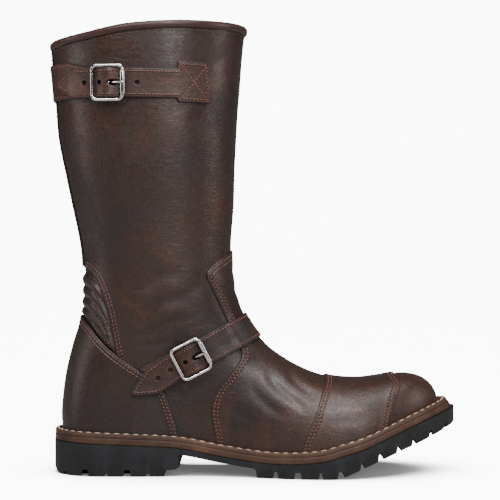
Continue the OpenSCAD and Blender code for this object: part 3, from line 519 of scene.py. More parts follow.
class Thread:
    """Gathers stitches of one colour on one body."""

    def __init__(self):
        self.frames = []

    def sew(self, path, out, pitch=2.9, length=1.85, radius=0.34, keep=None, phase=0.5):
        gone = np.concatenate([[0], np.cumsum(np.linalg.norm(np.diff(path, axis=0), axis=1))])
        count = int(gone[-1] / pitch)
        if count < 1:
            return
        s = (np.arange(count) + phase) * gone[-1] / count
        both = np.column_stack([path, out])

        def look(v):
            return np.stack([np.interp(v, gone, both[:, k]) for k in range(6)], 1)
        mid, a, b = look(s), look(s - length / 2), look(s + length / 2)
        along = unit(b[:, :3] - a[:, :3])
        n = unit(mid[:, 3:] - along * np.einsum("ij,ij->i", mid[:, 3:], along)[:, None])
        centre = mid[:, :3]
        if keep is not None:
            ok = keep(centre)
            centre, along, n = centre[ok], along[ok], n[ok]
        sizes = (np.full(len(centre), v) for v in (length, radius))
        self.frames.append((centre, along, n, *sizes))

    def build(self, name, material, body="boot", slot="strap_leather", nodes=()):
        centre, along, n, length, radius = (np.concatenate(c) for c in zip(*self.frames))
        wide = np.cross(n, along)
        sides, spots = 6, np.array([-0.5, -0.36, 0.0, 0.36, 0.5])
        fat = np.array([0.3, 0.85, 1.0, 0.85, 0.3])
        lift = np.array([-1.2, -0.1, 0.3, -0.1, -1.2])
        verts = []
        for a, r, h in zip(spots, fat, lift):
            for k in range(sides):
                t = 2 * np.pi * k / sides
                verts.append(centre + along * (a * length)[:, None]
                             + wide * (math.cos(t) * r * radius)[:, None]
                             + n * ((math.sin(t) * r * 0.8 + h) * radius)[:, None])
        verts = np.stack(verts, 1)
        count = verts.shape[1]
        quads = [[i * sides + k, i * sides + (k + 1) % sides, (i + 1) * sides + (k + 1) % sides,
                  (i + 1) * sides + k] for i in range(4) for k in range(sides)]
        caps = np.array([list(range(sides))[::-1], [4 * sides + k for k in range(sides)]])
        base = (np.arange(len(centre)) * count)[:, None, None]
        faces = [(base + np.array(quads)[None]).reshape(-1, 4),
                 (base + caps[None]).reshape(-1, sides)]
        return make(name, verts.reshape(-1, 3), faces, material, body, nodes)


def tube(path, radii, sides=20, closed=False, up=(0, 0, 1), squash=1.0):
    """Round wire along a path. Returns points and faces."""
    path = np.asarray(path, float)
    n = len(path)
    if closed:
        along = unit(np.roll(path, -1, 0) - np.roll(path, 1, 0))
    else:
        along = unit(np.gradient(path, axis=0))
    up = np.asarray(up, float)
    a = unit(np.cross(along, up))
    b = np.cross(a, along)
    t = 2 * np.pi * np.arange(sides) / sides
    radii = np.broadcast_to(radii, n)[:, None, None]
    verts = path[:, None] + radii * (a[:, None] * np.cos(t)[None, :, None]
                                     + squash * b[:, None] * np.sin(t)[None, :, None])
    rows = n if closed else n - 1
    i, k = grid(rows, sides)
    j, m = (i + 1) % n, (k + 1) % sides
    faces = [np.stack([i * sides + k, i * sides + m, j * sides + m, j * sides + k], 1)]
    if not closed:
        ends = np.arange(sides)
        faces.append(np.stack([ends[::-1], (n - 1) * sides + ends]))
    return verts.reshape(-1, 3), faces


def joined(parts):
    """One set of points and faces from several."""
    verts, faces, base = [], [], 0
    for v, fs in parts:
        verts.append(v)
        faces += [f + base for f in fs]
        base += len(v)
    return np.vstack(verts), faces


# ------------------------------------------------------------------ materials
def scaled(colour, k=1.0):
    """A colour made k times as bright, with alpha."""
    return tuple(min(1, k * c) for c in colour) + (1,)


def shader(name):
    material = bpy.data.materials.new(name)
    material.use_nodes = True
    tree = material.node_tree
    return material, tree, tree.nodes["Principled BSDF"]


class Nodes:
    """Short ways to wire shader nodes."""

    # Places of the colour sockets on a mix node.
    COLOUR_A, COLOUR_B, COLOUR_RESULT = 6, 7, 2

    def __init__(self, tree):
        self.tree = tree
        self.coord = tree.nodes.new("ShaderNodeTexCoord").outputs["Object"]

    def link(self, a, b):
        self.tree.links.new(a, b)

    def put(self, socket, value):
        if hasattr(value, "links"):
            self.link(value, socket)
        elif value is not None:
            socket.default_value = value

    def noise(self, scale, detail=4, rough=0.55, distortion=0.0, vector=None):
        node = self.tree.nodes.new("ShaderNodeTexNoise")
        node.inputs["Scale"].default_value = scale
        node.inputs["Detail"].default_value = detail
        node.inputs["Roughness"].default_value = rough
        node.inputs["Distortion"].default_value = distortion
        self.link(vector or self.coord, node.inputs["Vector"])
        return node.outputs["Fac"]

    def cells(self, scale, feature="F1"):
        node = self.tree.nodes.new("ShaderNodeTexVoronoi")
        node.feature = feature
        node.inputs["Scale"].default_value = scale
        self.link(self.coord, node.inputs["Vector"])
        return node.outputs["Distance"]

    def stretched(self, scale):
        node = self.tree.nodes.new("ShaderNodeMapping")
        node.inputs["Scale"].default_value = scale
        self.link(self.coord, node.inputs["Vector"])
        return node.outputs["Vector"]

    def attribute(self, name):
        node = self.tree.nodes.new("ShaderNodeAttribute")
        node.attribute_name = name
        return node.outputs["Fac"]

    def math(self, operation, a, b=None, c=None):
        node = self.tree.nodes.new("ShaderNodeMath")
        node.operation = operation
        for socket, value in zip(node.inputs, (a, b, c)):
            self.put(socket, value)
        return node.outputs[0]

    def span(self, value, a, b, c=0.0, d=1.0):
        node = self.tree.nodes.new("ShaderNodeMapRange")
        node.interpolation_type = "SMOOTHSTEP"
        keys = ("Value", "From Min", "From Max", "To Min", "To Max")
        for key, v in zip(keys, (value, a, b, c, d)):
            self.put(node.inputs[key], v)
        return node.outputs["Result"]

    def blend(self, factor, a, b):
        node = self.tree.nodes.new("ShaderNodeMix")
        node.data_type = "RGBA"
        self.put(node.inputs["Factor"], factor)
        self.put(node.inputs[self.COLOUR_A], a)
        self.put(node.inputs[self.COLOUR_B], b)
        return node.outputs[self.COLOUR_RESULT]

    def ramp(self, value, stops):
        node = self.tree.nodes.new("ShaderNodeValToRGB")
        node.color_ramp.interpolation = "EASE"
        bar = node.color_ramp
        while len(bar.elements) < len(stops):
            bar.elements.new(0.5)
        for element, (place, colour) in zip(bar.elements, stops):
            element.position = place
            element.color = colour if len(colour) == 4 else scaled(colour)
        self.link(value, node.inputs["Fac"])
        return node.outputs["Color"]

    def bump(self, height, distance, strength=1.0, onto=None):
        node = self.tree.nodes.new("ShaderNodeBump")
        node.inputs["Strength"].default_value = strength
        node.inputs["Distance"].default_value = distance
        self.link(height, node.inputs["Height"])
        if onto is not None:
            self.link(onto, node.inputs["Normal"])
        return node.outputs["Normal"]


def groove(s, distance, place, width):
    """1 in a narrow line at a distance from an edge, 0 away from it."""
    off = s.math("ABSOLUTE", s.math("SUBTRACT", distance, place))
    return s.span(off, 0.0, width, 1.0, 0.0)


def leather(name, dark, mid, warm, rough=(0.33, 0.50), rows=(), grain=1.0, specular=0.36, coat=0.06,
            rim_dark=0.55, wear=0.22):
    material, tree, out = shader(name)
    s = Nodes(tree)
    cloud = s.noise(11, 3, 0.5, 0.4)
    mottle = s.noise(46, 5, 0.62, 0.7)
    streak = s.noise(26, 4, 0.6, 0.3, s.stretched((1.0, 1.0, 0.35)))
    fine = s.noise(330, 3, 0.6)
    tone = s.math("ADD", s.math("MULTIPLY", cloud, 0.55), s.math("MULTIPLY", mottle, 0.45))
    colour = s.ramp(tone, [(0.34, dark), (0.52, mid), (0.68, warm)])
    colour = s.blend(s.span(streak, 0.5, 0.72, 0, 0.55), colour, scaled(warm))
    colour = s.blend(s.span(fine, 0.42, 0.6, 0, 0.22), colour, scaled(dark))
    rim = s.attribute("rim")
    colour = s.blend(s.span(rim, 0.25, 1.3, rim_dark, 0.0), colour, scaled(dark, 0.35))
    worn = s.math("MULTIPLY", groove(s, rim, 1.35, 0.9), s.span(mottle, 0.42, 0.62))
    colour = s.blend(s.math("MULTIPLY", worn, wear), colour, scaled(warm, 2.2))
    height = None
    if rows:
        edge = s.attribute("edge")
        lines = [groove(s, edge, place, 0.75) for place in rows]
        line = lines[0]
        for more in lines[1:]:
            line = s.math("MAXIMUM", line, more)
        # Painted shade: the sewn rows are darkened along the stitch channel and its holes, where
        # shade falls.
        colour = s.blend(s.math("MULTIPLY", line, 0.75), colour, scaled(dark, 0.4))
        middle = sum(rows) / len(rows)
        pucker = s.math("MULTIPLY", s.span(s.math("ABSOLUTE", s.math("SUBTRACT", edge, middle)),
                                           1.0, 5.0, 1.0, 0.0), s.noise(210, 2, 0.5))
        height = s.bump(line, 0.0006, 0.9)
        height = s.bump(pucker, 0.0006, 0.55, height)
    pores = s.cells(780)
    wrinkle = s.cells(250, "DISTANCE_TO_EDGE")
    pebble = s.math("ADD", s.math("MULTIPLY", pores, 0.5),
                    s.math("ADD", s.math("MULTIPLY", s.span(wrinkle, 0.0, 0.16), 0.22),
                           s.math("MULTIPLY", s.noise(520, 3, 0.6), 0.5)))
    normal = s.bump(pebble, 0.00022, 0.42 * grain, height)
    fold = s.noise(95, 4, 0.62, 1.2, s.stretched((0.8, 1, 1.7)))
    normal = s.bump(fold, 0.0011, 0.32, normal)
    s.link(normal, out.inputs["Normal"])
    s.link(colour, out.inputs["Base Color"])
    gloss = s.math("ADD", s.math("MULTIPLY", mottle, 0.7), s.math("MULTIPLY", fine, 0.3))
    s.link(s.span(gloss, 0.38, 0.64, rough[1], rough[0]), out.inputs["Roughness"])
    out.inputs["Specular IOR Level"].default_value = specular
    out.inputs["Coat Weight"].default_value = coat
    out.inputs["Coat Roughness"].default_value = 0.3
    out.inputs["Sheen Weight"].default_value = 0.03
    out.inputs["Sheen Roughness"].default_value = 0.5
    return material


def thread_material(name, colour):
    material, tree, out = shader(name)
    s = Nodes(tree)
    fray = s.noise(900, 2)
    patch = s.noise(40, 3)
    tint = s.blend(s.span(fray, 0.35, 0.65), scaled(colour, 0.55), scaled(colour))
    tint = s.blend(s.span(patch, 0.4, 0.65, 0, 0.4), tint, scaled(colour, 0.6))
    s.link(tint, out.inputs["Base Color"])
    s.link(s.bump(fray, 0.0002, 0.6), out.inputs["Normal"])
    s.link(s.span(patch, 0.3, 0.7, 0.62, 0.8), out.inputs["Roughness"])
    out.inputs["Sheen Weight"].default_value = 0.2
    return material


def rubber_material(name, colour):
    material, tree, out = shader(name)
    s = Nodes(tree)
    dust = s.noise(70, 5, 0.65)
    grit = s.noise(900, 2, 0.5)
    flow = s.noise(160, 4, 0.6, 0.8)
    tint = s.ramp(dust, [(0.35, scaled(colour, 0.75)), (0.55, colour),
                         (0.75, scaled(colour, 1.5))])
    s.link(tint, out.inputs["Base Color"])
    normal = s.bump(grit, 0.0002, 0.3)
    s.link(s.bump(flow, 0.0005, 0.25, normal), out.inputs["Normal"])
    s.link(s.span(dust, 0.35, 0.7, 0.5, 0.68), out.inputs["Roughness"])
    out.inputs["Specular IOR Level"].default_value = 0.2
    return material


def metal_material(name, colour, rough):
    material, tree, out = shader(name)
    s = Nodes(tree)
    smear = s.noise(120, 4, 0.6)
    scratch = s.noise(260, 3, 0.6, 0.5, s.stretched((6, 1, 1)))
    tint = s.ramp(smear, [(0.3, scaled(colour, 0.82)), (0.7, colour)])
    s.link(tint, out.inputs["Base Color"])
    out.inputs["Metallic"].default_value = 1.0
    s.link(s.span(scratch, 0.35, 0.7, rough * 0.7, rough * 1.6), out.inputs["Roughness"])
    s.link(s.bump(scratch, 0.00012, 0.12), out.inputs["Normal"])
    return material


def layered_material(name, colour, edge_colour, fine_scale=500):
    """Welt and midsole: burnished leather board with fibres along the edge."""
    material, tree, out = shader(name)
    s = Nodes(tree)
    mottle = s.noise(38, 5, 0.6, 0.4)
    fibre = s.noise(fine_scale, 4, 0.6, 0.2, s.stretched((0.12, 0.12, 1.4)))
    tint = s.ramp(mottle, [(0.32, scaled(colour, 0.62)), (0.52, colour),
                           (0.72, edge_colour)])
    tint = s.blend(s.span(fibre, 0.42, 0.62, 0, 0.16), tint, scaled(colour, 0.5))
    s.link(tint, out.inputs["Base Color"])
    normal = s.bump(fibre, 0.0003, 0.15)
    s.link(s.bump(s.noise(700, 3), 0.0002, 0.35, normal), out.inputs["Normal"])
    s.link(s.span(mottle, 0.35, 0.65, 0.62, 0.42), out.inputs["Roughness"])
    out.inputs["Specular IOR Level"].default_value = 0.22
    return material


def cloth_material(name, colour, scale=900, rough=0.85):
    material, tree, out = shader(name)
    s = Nodes(tree)
    weave = s.cells(scale)
    patch = s.noise(30, 4)
    tint = s.blend(s.span(patch, 0.35, 0.65), scaled(colour, 0.7), scaled(colour))
    tint = s.blend(s.span(weave, 0.2, 0.7, 0, 0.4), tint, scaled(colour, 0.5))
    s.link(tint, out.inputs["Base Color"])
    s.link(s.bump(weave, 0.0004, 0.5), out.inputs["Normal"])
    s.link(s.span(patch, 0.3, 0.7, rough - 0.08, rough), out.inputs["Roughness"])
    out.inputs["Sheen Weight"].default_value = 0.15
    return material


# ------------------------------------------------------------------ colours
# Distances of the sewn rows from the edge of a panel and of a strap, in mm.
ROWS, STRAP_ROW = (2.4, 4.8), 2.5
DARK = (0.0090, 0.0044, 0.0036)
BROWN = (0.0215, 0.0092, 0.0068)
WARM = (0.0420, 0.0145, 0.0090)
calf = leather("shaft_leather", DARK, BROWN, WARM, rows=ROWS)
vamp_calf = leather("vamp_leather", DARK, (0.0250, 0.0104, 0.0076), (0.0540, 0.0190, 0.0118),
                    rows=ROWS)
counter_calf = leather("counter_leather", DARK, (0.0190, 0.0084, 0.0064),
                       (0.0360, 0.0130, 0.0084), rows=ROWS)
rib_calf = leather("rib_leather", DARK, (0.0170, 0.0074, 0.0058), (0.0330, 0.0120, 0.0078),
                   grain=1.2)
strap_calf = leather("strap_leather", (0.0120, 0.0052, 0.0040), (0.0300, 0.0108, 0.0074),
                     (0.0640, 0.0190, 0.0106), rows=(STRAP_ROW,), rough=(0.38, 0.56), rim_dark=0.7)
binding_calf = leather("binding_leather", (0.0136, 0.0053, 0.0044), (0.0320, 0.0108, 0.0078),
                       (0.0560, 0.0170, 0.0110), grain=0.8)
lining_calf = leather("lining_leather", (0.0352, 0.0264, 0.0198), (0.0572, 0.0440, 0.0330),
                      (0.0836, 0.0638, 0.0484), rough=(0.62, 0.8), coat=0.0, specular=0.15)
rust = thread_material("rust_thread", (0.235, 0.062, 0.024))
dark_thread = thread_material("dark_thread", (0.050, 0.014, 0.010))
cream = thread_material("cream_thread", (0.6000, 0.4700, 0.3300))
rubber = rubber_material("black_rubber", (0.0128, 0.0132, 0.0145))
welt_hide = layered_material("welt_leather", (0.0594, 0.0297, 0.0187), (0.0968, 0.0506, 0.0308))
board_hide = layered_material("midsole_leather", (0.0540, 0.0275, 0.0175), (0.0850, 0.0450, 0.0275))
nickel = metal_material("polished_nickel", (0.62, 0.61, 0.585), 0.13)
steel = metal_material("dull_steel", (0.45, 0.45, 0.45), 0.4)
lining_cloth = cloth_material("footbed_cloth", (0.05, 0.048, 0.046))
felt = cloth_material("stiffener_board", (0.42, 0.36, 0.27), 500)
foam = cloth_material("grey_foam", (0.25, 0.25, 0.24), 1200)
cork_cloth = cloth_material("cork", (0.32, 0.20, 0.10), 420)

# ------------------------------------------------------------------ upper
LEATHER_T, LINING_T, STIFF_T, LAYER_GAP = 2.2, 1.6, 1.6, 0.15
BACKSTAY_HALF, BACKSTAY_LOW, BACKSTAY_T = 11.0, 159.0, 1.25
STEP = 2.4
whole = net(0.35, RING_LAST + 1, 0, 360, STEP)
coarse = net(0.35, RING_LAST + 1, 0, 360, 4.5)


def collar_f(q, drop=0.0):
    return -beside(COLLAR, *xz(q)) - drop


def floor_f(q, dip=2.0):
    return q[:, 2] - (welt_z(q[:, 0]) - dip)


def vamp_high(q, p):
    return mix(1.35, 0.0, ease((p[:, 0] - 18.5) / 3.5))


def least(*parts):
    out = parts[0]
    for part in parts[1:]:
        out = np.minimum(out, part)
    return out


def flex_f(q):
    return beside(FLEX_SEAM, *xz(q))


def counter_f(q):
    return -beside(COUNTER_SEAM, *xz(q))


def vamp_f(q):
    return beside(VAMP_SEAM, *xz(q))


def band_f(q):
    return least(beside(BAND_REAR, *xz(q)), -beside(BAND_FRONT, *xz(q)))


_, shaft_cut = panel(
    "shaft_panel", whole,
    lambda q, p: least(flex_f(q), 5 - vamp_f(q), 6 - counter_f(q), collar_f(q, 2.4), floor_f(q)),
    -LEATHER_T, 0.0, calf, ["shaft"], edge=1.1,
    stitched=lambda q, p: flex_f(q))
# Dip of the rolls of the ribbed panel along the boot.
ribs = np.array([(-175.0, 3), (-140, 3), (-131, 1.6), (-124, -1.5), (-118.5, -7), (-114, -15),
                 (-108, -34), (-100, -60)])
RIB_PITCH, RIB_TOP = 8.5, 154.2


def rib_phase(q):
    return (RIB_TOP - (q[:, 2] - np.interp(q[:, 0], ribs[:, 0], ribs[:, 1]) + 3)) / RIB_PITCH


def rib_high(q, p):
    phase = rib_phase(q)
    roll = np.sqrt(np.abs(np.sin(np.pi * phase)) + 0.002)
    inside_rows = ease(phase * 8) * ease((5.2 - phase) * 4)
    border = ease(-flex_f(q) / 2.5) * ease(-counter_f(q) / 2.5)
    return -1.0 + 2.3 * roll * inside_rows * border


_, flex_cut = panel(
    "ribbed_panel", net(7.5, 15, 95, 265, 1.15),
    lambda q, p: least(4 - flex_f(q), 4 - counter_f(q)),
    -LEATHER_T, rib_high, rib_calf, ["flex_panel"], edge=0.8)
panel(
    "backstay_strip", net(0.35, 9.5, 150, 210, 1.4),
    lambda q, p: least(BACKSTAY_HALF - np.abs(q[:, 1]), q[:, 2] - BACKSTAY_LOW, -112 - q[:, 0],
                       collar_f(q, 6)),
    0.0, BACKSTAY_T, calf, ["backstay"], edge=0.9)
_, counter_cut = panel(
    "heel_counter_panel", whole, lambda q, p: least(counter_f(q), floor_f(q)),
    -0.3, 1.65, counter_calf, ["heel_counter"], edge=1.1,
    stitched=lambda q, p: counter_f(q))
_, vamp_cut = panel(
    "vamp_panel", whole,
    lambda q, p: least(vamp_f(q), 5 - beside(BAND_REAR, *xz(q)), floor_f(q)),
    -LEATHER_T, vamp_high, vamp_calf, ["vamp"], edge=1.1,
    stitched=lambda q, p: vamp_f(q))
_, band_cut = panel(
    "toe_band_panel", whole, lambda q, p: least(band_f(q), floor_f(q)),
    -0.2, 1.35, vamp_calf, ["toe_band"], edge=1.1, stitched=lambda q, p: band_f(q))
panel(
    "toe_cap_panel", whole,
    lambda q, p: least(beside(BAND_FRONT, *xz(q)) + 5, floor_f(q)),
    -LEATHER_T, 0.0, vamp_calf, ["toe_cap"], edge=1.0,
    stitched=lambda q, p: np.full(len(q), 30.0))

# The layers inside the leather.
lining_h = -LEATHER_T - LAYER_GAP
foot_lining_h = lining_h - STIFF_T - LAYER_GAP
panel("shaft_lining_sheet", coarse, lambda q, p: least(collar_f(q, 2.6), q[:, 2] - 166.2),
      lining_h - LINING_T, lining_h, lining_calf, ["shaft_lining"], edge=0.8)
panel("foot_lining_sheet", coarse, lambda q, p: least(165.9 - q[:, 2], floor_f(q, 3.3)),
      foot_lining_h - LINING_T, foot_lining_h, lining_calf, ["foot_lining"],
      edge=0.8)
COUNTER_BOARD = [(-175, 96), (-140, 96), (-118, 86), (-96, 70), (-78, 54), (-66, 40), (-60, 10),
                 (-175, 10)]
PUFF = [(84, 100), (84, 60), (92, 10), (175, 10), (175, 100)]
PADDING = [(-175, 158), (-132, 158), (-118, 150), (-110, 134), (-108, 116), (-112, 97.5),
           (-175, 97.5)]
for name, area, node, fill, slot_name in (
        ("counter_board", COUNTER_BOARD, "counter_stiffener", felt, "stiffener"),
        ("toe_board", PUFF, "toe_puff", felt, "stiffener"),
        ("ankle_padding", PADDING, "flex_padding", foam, "foam")):
    made, _ = panel(name, coarse,
                    lambda q, p, a=area: least(inside(a, *xz(q)), floor_f(q, 3.3)),
                    lining_h - STIFF_T, lining_h, fill, [node], edge=0.6)

# ------------------------------------------------------------------ collar
turns = np.arange(0, 360, 1.5)


def collar_points(drop):
    """Points of the surface a drop under the collar line."""
    a, b = np.full(len(turns), 0.05), np.full(len(turns), 3.5)
    for _ in range(30):
        u = (a + b) / 2
        q = surface(u, turns)
        over = q[:, 2] - (np.interp(q[:, 0], COLLAR[:, 0], COLLAR[:, 1]) - drop)
        a, b = np.where(over > 0, u, a), np.where(over > 0, b, u)
    return u, surface(u, turns)


def collar_band():
    """Rolled binding, from rows of (drop under the collar, height over the leather)."""
    section = [(6.2, 0.2), (6.15, 0.8), (5.7, 1.3), (5.0, 1.75), (4.0, 2.1), (2.8, 2.2),
               (1.4, 1.85), (0.4, 0.95), (0.0, -0.6), (-0.15, -2.0), (0.1, -3.4), (0.8, -4.6),
               (2.0, -5.3), (3.4, -5.45), (5.0, -5.3), (6.0, -5.0), (6.2, -4.4),
               (5.6, -3.98), (4.2, -3.98),
               (3.0, -3.4), (2.6, -2.0), (3.0, -0.2), (4.2, 0.1), (5.6, 0.1)]
    rows = []
    for drop, h in section:
        u, q = collar_points(drop)
        rows.append(q + normals(u, turns) * (h + creases(q))[:, None])
    return np.vstack(rows), ring_faces(len(section), len(turns))


verts, faces = collar_band()
make("collar_roll", verts, [faces], binding_calf, "boot", ["collar_binding"],
     plain_edges(len(verts)))

# ------------------------------------------------------------------ stitching of the upper
sewn = Thread()


def clear_of_sole(c):
    return c[:, 2] > welt_z(c[:, 0]) + 0.8


def sew_along(cut_parts, f_of, levels, keep=None, thread=sewn, **options):
    points, tris, hi = cut_parts
    q = surface(points[:, 0], points[:, 1])
    both = np.column_stack([points[:, :2], f_of(q, points), hi])
    for level in levels:
        for chain in contour(both, tris, level):
            path, out = on_top(chain[:, :2], chain[:, 3])
            thread.sew(path, out, keep=keep or clear_of_sole, **options)


sew_along(shaft_cut, lambda q, p: flex_f(q), ROWS,
          lambda c: (beside(COUNTER_SEAM, *xz(c)) > 0.5) & (np.abs(c[:, 1]) > 11.8))
sew_along(counter_cut, lambda q, p: counter_f(q), ROWS)
sew_along(vamp_cut, lambda q, p: vamp_f(q), ROWS)
sew_along(band_cut, lambda q, p: band_f(q), ROWS)
for k in range(1, 5):
    sew_along(flex_cut, lambda q, p: rib_phase(q) - k, (0.0,),
              lambda c: (beside(FLEX_SEAM, *xz(c)) < -0.8)
              & (beside(COUNTER_SEAM, *xz(c)) > 0.8), pitch=3.2, radius=0.3)
BACKSTAY_ROW = BACKSTAY_HALF - 2.0
for side in (-1, 1):
    z = np.linspace(BACKSTAY_LOW + 2, 326, 160)
    back = np.interp(z, [b[0] for b in BACK_LINE], [b[1] for b in BACK_LINE])
    u = np.array([place_in_side(x + 0.6, h)[0] for x, h in zip(back, z)])
    a, b = (np.full(len(z), turn) for turn in ((150.0, 180.0) if side < 0 else (210.0, 180.0)))
    for _ in range(24):
        m = (a + b) / 2
        wide = np.abs(surface(u, m)[:, 1]) > BACKSTAY_ROW
        a, b = np.where(wide, m, a), np.where(wide, b, m)
    path, out = on_top(np.stack([u, m], 1), BACKSTAY_T)
    sewn.sew(path, out)
u, q = collar_points(7.7)
path, out = on_top(np.stack([u, turns], 1), 0.02)
collar_thread = Thread()
collar_thread.sew(np.vstack([path, path[:1]]), np.vstack([out, out[:1]]), pitch=3.3, length=2.4)
collar_thread.build("collar_stitches", dark_thread)

# ------------------------------------------------------------------ buckle frames
WIRE_R, POST_R, ROLLER_R, PRONG_R = 1.3, 1.1, 1.95, 1.05
BUCKLE_L, BUCKLE_W, CORNER_R = 26.0, 28.0, 3.6
BAR_L, RAIL_W = BUCKLE_L / 2 - WIRE_R, BUCKLE_W / 2 - WIRE_R
# Heights over the leather: hinge bar, strap over the hinge, strap under the roller.
HINGE_H, OVER_HINGE_H, ENTRY_H = 3.0, 6.05, 0.6
STRAP_T, BAR_PLAY = 2.2, 1.15


def outer_point(x, z):
    u, turn = place_in_side(x, z)
    return surface(u, turn)


def outer_normal(x, z, probe=1.5):
    return unit(np.cross(outer_point(x + probe, z) - outer_point(x - probe, z),
                         outer_point(x, z + probe) - outer_point(x, z - probe)))


class Buckle:
    """Place of a buckle on the outer side: l along the strap, w across it, h outward."""

    def __init__(self, x, z, turn, tail_h):
        self.origin = outer_point(x, z)
        self.out = outer_normal(x, z)
        d = np.array([math.cos(math.radians(turn)), 0, math.sin(math.radians(turn))])
        self.along = unit(d - (d @ self.out) * self.out)
        self.across = np.cross(self.out, self.along)
        self.front_h = self.rise(BAR_L) + ENTRY_H + STRAP_T + BAR_PLAY + ROLLER_R
        self.rear_h = self.rise(-BAR_L) + tail_h + STRAP_T + BAR_PLAY + WIRE_R

    def side(self, l, w):
        return (self.origin[0] + l * self.along[0] + w * self.across[0],
                self.origin[2] + l * self.along[2] + w * self.across[2])

    def rise(self, l):
        return float((outer_point(*self.side(l, 0)) - self.origin) @ self.out)

    def lw(self, q):
        a, b = self.along, self.across
        dx, dz = q[:, 0] - self.origin[0], q[:, 2] - self.origin[2]
        det = a[0] * b[2] - b[0] * a[2]
        return (dx * b[2] - dz * b[0]) / det, (dz * a[0] - dx * a[2]) / det

    def point(self, l, w, h):
        l, w, h = np.broadcast_arrays(*(np.asarray(v, float) for v in (l, w, h)))
        return (self.origin + l[..., None] * self.along + w[..., None] * self.across
                + h[..., None] * self.out)

    def bar(self, w):
        """Points along the hinge bar."""
        return self.point(0, w, HINGE_H)


UPPER = Buckle(-108.7, 296.5, 0, 3.25)
ANKLE = Buckle(-48.8, 89.5, 27, 2.4)


def strap_low(tail_h, front_h):
    """Rows of (place along the strap, height of its underside)."""
    return [(-70, tail_h), (-15, tail_h), (-BAR_L, tail_h), (-5, mix(OVER_HINGE_H, tail_h, 0.35)),
            (-1.5, OVER_HINGE_H), (1.5, OVER_HINGE_H), (4.5, 4.4), (8, 2.3), (BAR_L, ENTRY_H),
            (18, ENTRY_H), (24, front_h + 0.2), (30, front_h), (200, front_h)]


HOLE_R = 1.5
SLOT_L, SLOT_LONG, SLOT_R = 4.6, 1.8, 2.05


def strap_f(outline, holes):
    def f(l, w):
        body = inside(outline, l, w)
        for hl, hw in holes:
            body = np.minimum(body, np.hypot(l - hl, w - hw) - HOLE_R)
        return np.minimum(body, np.hypot((l - SLOT_L) / SLOT_LONG, w) - SLOT_R)
    return f


# Upper strap: flared and sewn down in front, pointed tail behind the buckle.
UP_TAIL = [(-24.5, 11), (-29, 9.2), (-33.5, 6.6), (-37.5, 3.9), (-40.2, 1.9), (-41.2, 0.6)]
UP_BOX = [(52, 11), (52.2, 17), (76.3, 17), (76.3, -13.7), (52.2, -13.7), (52, -11)]
up_outline = np.array(UP_TAIL[::-1] + UP_BOX + [(l, -w) for l, w in UP_TAIL])
up_f = strap_f(up_outline, [(-17.5, 0), (-5.6, 0), (21.5, 0)])


def up_low(q, p):
    l, w = UPPER.lw(q)
    return curve(strap_low(3.25, -0.1), l)


def up_high(q, p):
    return up_low(q, p) + STRAP_T + 0.1 * ease((UPPER.lw(q)[0] - 20) / 10)


strap_net = net(1.1, 4.1, 4, 176, 1.25)
up_strap, up_cut = panel(
    "upper_strap_leather", strap_net, lambda q, p: up_f(*UPPER.lw(q)), up_low, up_high,
    strap_calf, ["upper_strap", "upper_strap_tail"], body=None, edge=0.8,
    stitched=lambda q, p: inside(up_outline, *UPPER.lw(q)))

# Ankle strap: rows of (l, upper w, lower w) down to the tip of its tail.
AN_TAIL = [(-15, 11, -11.1), (-21, 10.2, -11.8), (-27, 9.4, -12.6), (-33.5, 8.6, -13.4),
           (-40, 5.2, -11.2), (-46, 1.4, -8.6), (-50, -1.2, -6.8), (-52.6, -3.0, -5.2)]
an_outline = np.array([(200, 11)] + [(l, a) for l, a, b in AN_TAIL]
                      + [(l, b) for l, a, b in AN_TAIL[::-1]] + [(200, -11)])
an_body = strap_f(an_outline, [(-29.2, -1.9), (-17.6, -0.5), (-4.7, 0)])


def outer_half(p):
    return p[:, 1] % 360 < 180


def an_outline_f(q, p):
    l, w = ANKLE.lw(q)
    return np.where(outer_half(p), inside(an_outline, l, w),
                    least(11 - np.abs(w), -counter_f(q) - 0.3))


def an_f(q, p):
    l, w = ANKLE.lw(q)
    return np.where(outer_half(p), an_body(l, w), an_outline_f(q, p))


def an_low(q, p):
    l, w = ANKLE.lw(q)
    rest = 1.45 * ease((vamp_f(q) + 5) / 6)
    outer = mix(curve(strap_low(2.4, 0.2), l), rest, ease((l - 22) / 10))
    return np.where(outer_half(p), outer, rest)


def an_high(q, p):
    return an_low(q, p) + STRAP_T - 0.05


an_strap, an_cut = panel(
    "ankle_strap_leather", net(8.5, 19, -125, 140, 1.3), an_f, an_low, an_high, strap_calf,
    ["ankle_strap", "ankle_strap_tail"], body=None, edge=0.8,
    stitched=an_outline_f)

# Chapes: the doubled leather that holds the buckles.
CHAPE_OUT = [(-107, 307.5), (-125, 308.5), (-140, 313), (-190, 316.5), (-190, 287.2), (-140, 286),
             (-125, 285), (-107, 285.5)]
CHAPE_IN = [(-52, 307.5), (-125, 308.5), (-140, 313), (-190, 316.5), (-190, 287.2), (-140, 286),
            (-125, 285), (-52, 285.5)]


def up_chape_f(q, p):
    return np.where(outer_half(p), inside(CHAPE_OUT, *xz(q)), inside(CHAPE_IN, *xz(q)))


def up_chape_high(q, p):
    return np.where(outer_half(p), 3.05, mix(3.05, 2.0, ease((q[:, 1] - 12) / 14)))


up_chape, up_chape_cut = panel("upper_chape_leather", net(1.0, 4.2, 70, 330, 1.5), up_chape_f, -0.2,
                               up_chape_high, strap_calf, [], edge=0.9)
AN_CHAPE = [(-52, 99.2), (-43, 79.9), (-52.9, 73.2), (-71, 61.6), (-92, 79.3), (-70, 91.3)]


def an_chape_f(q, p):
    return least(inside(AN_CHAPE, *xz(q)), -counter_f(q) - 0.2)


an_chape, an_chape_cut = panel("ankle_chape_leather", net(10, 19, 45, 135, 1.3), an_chape_f,
                               -0.2, 1.95, strap_calf, [], edge=0.9)


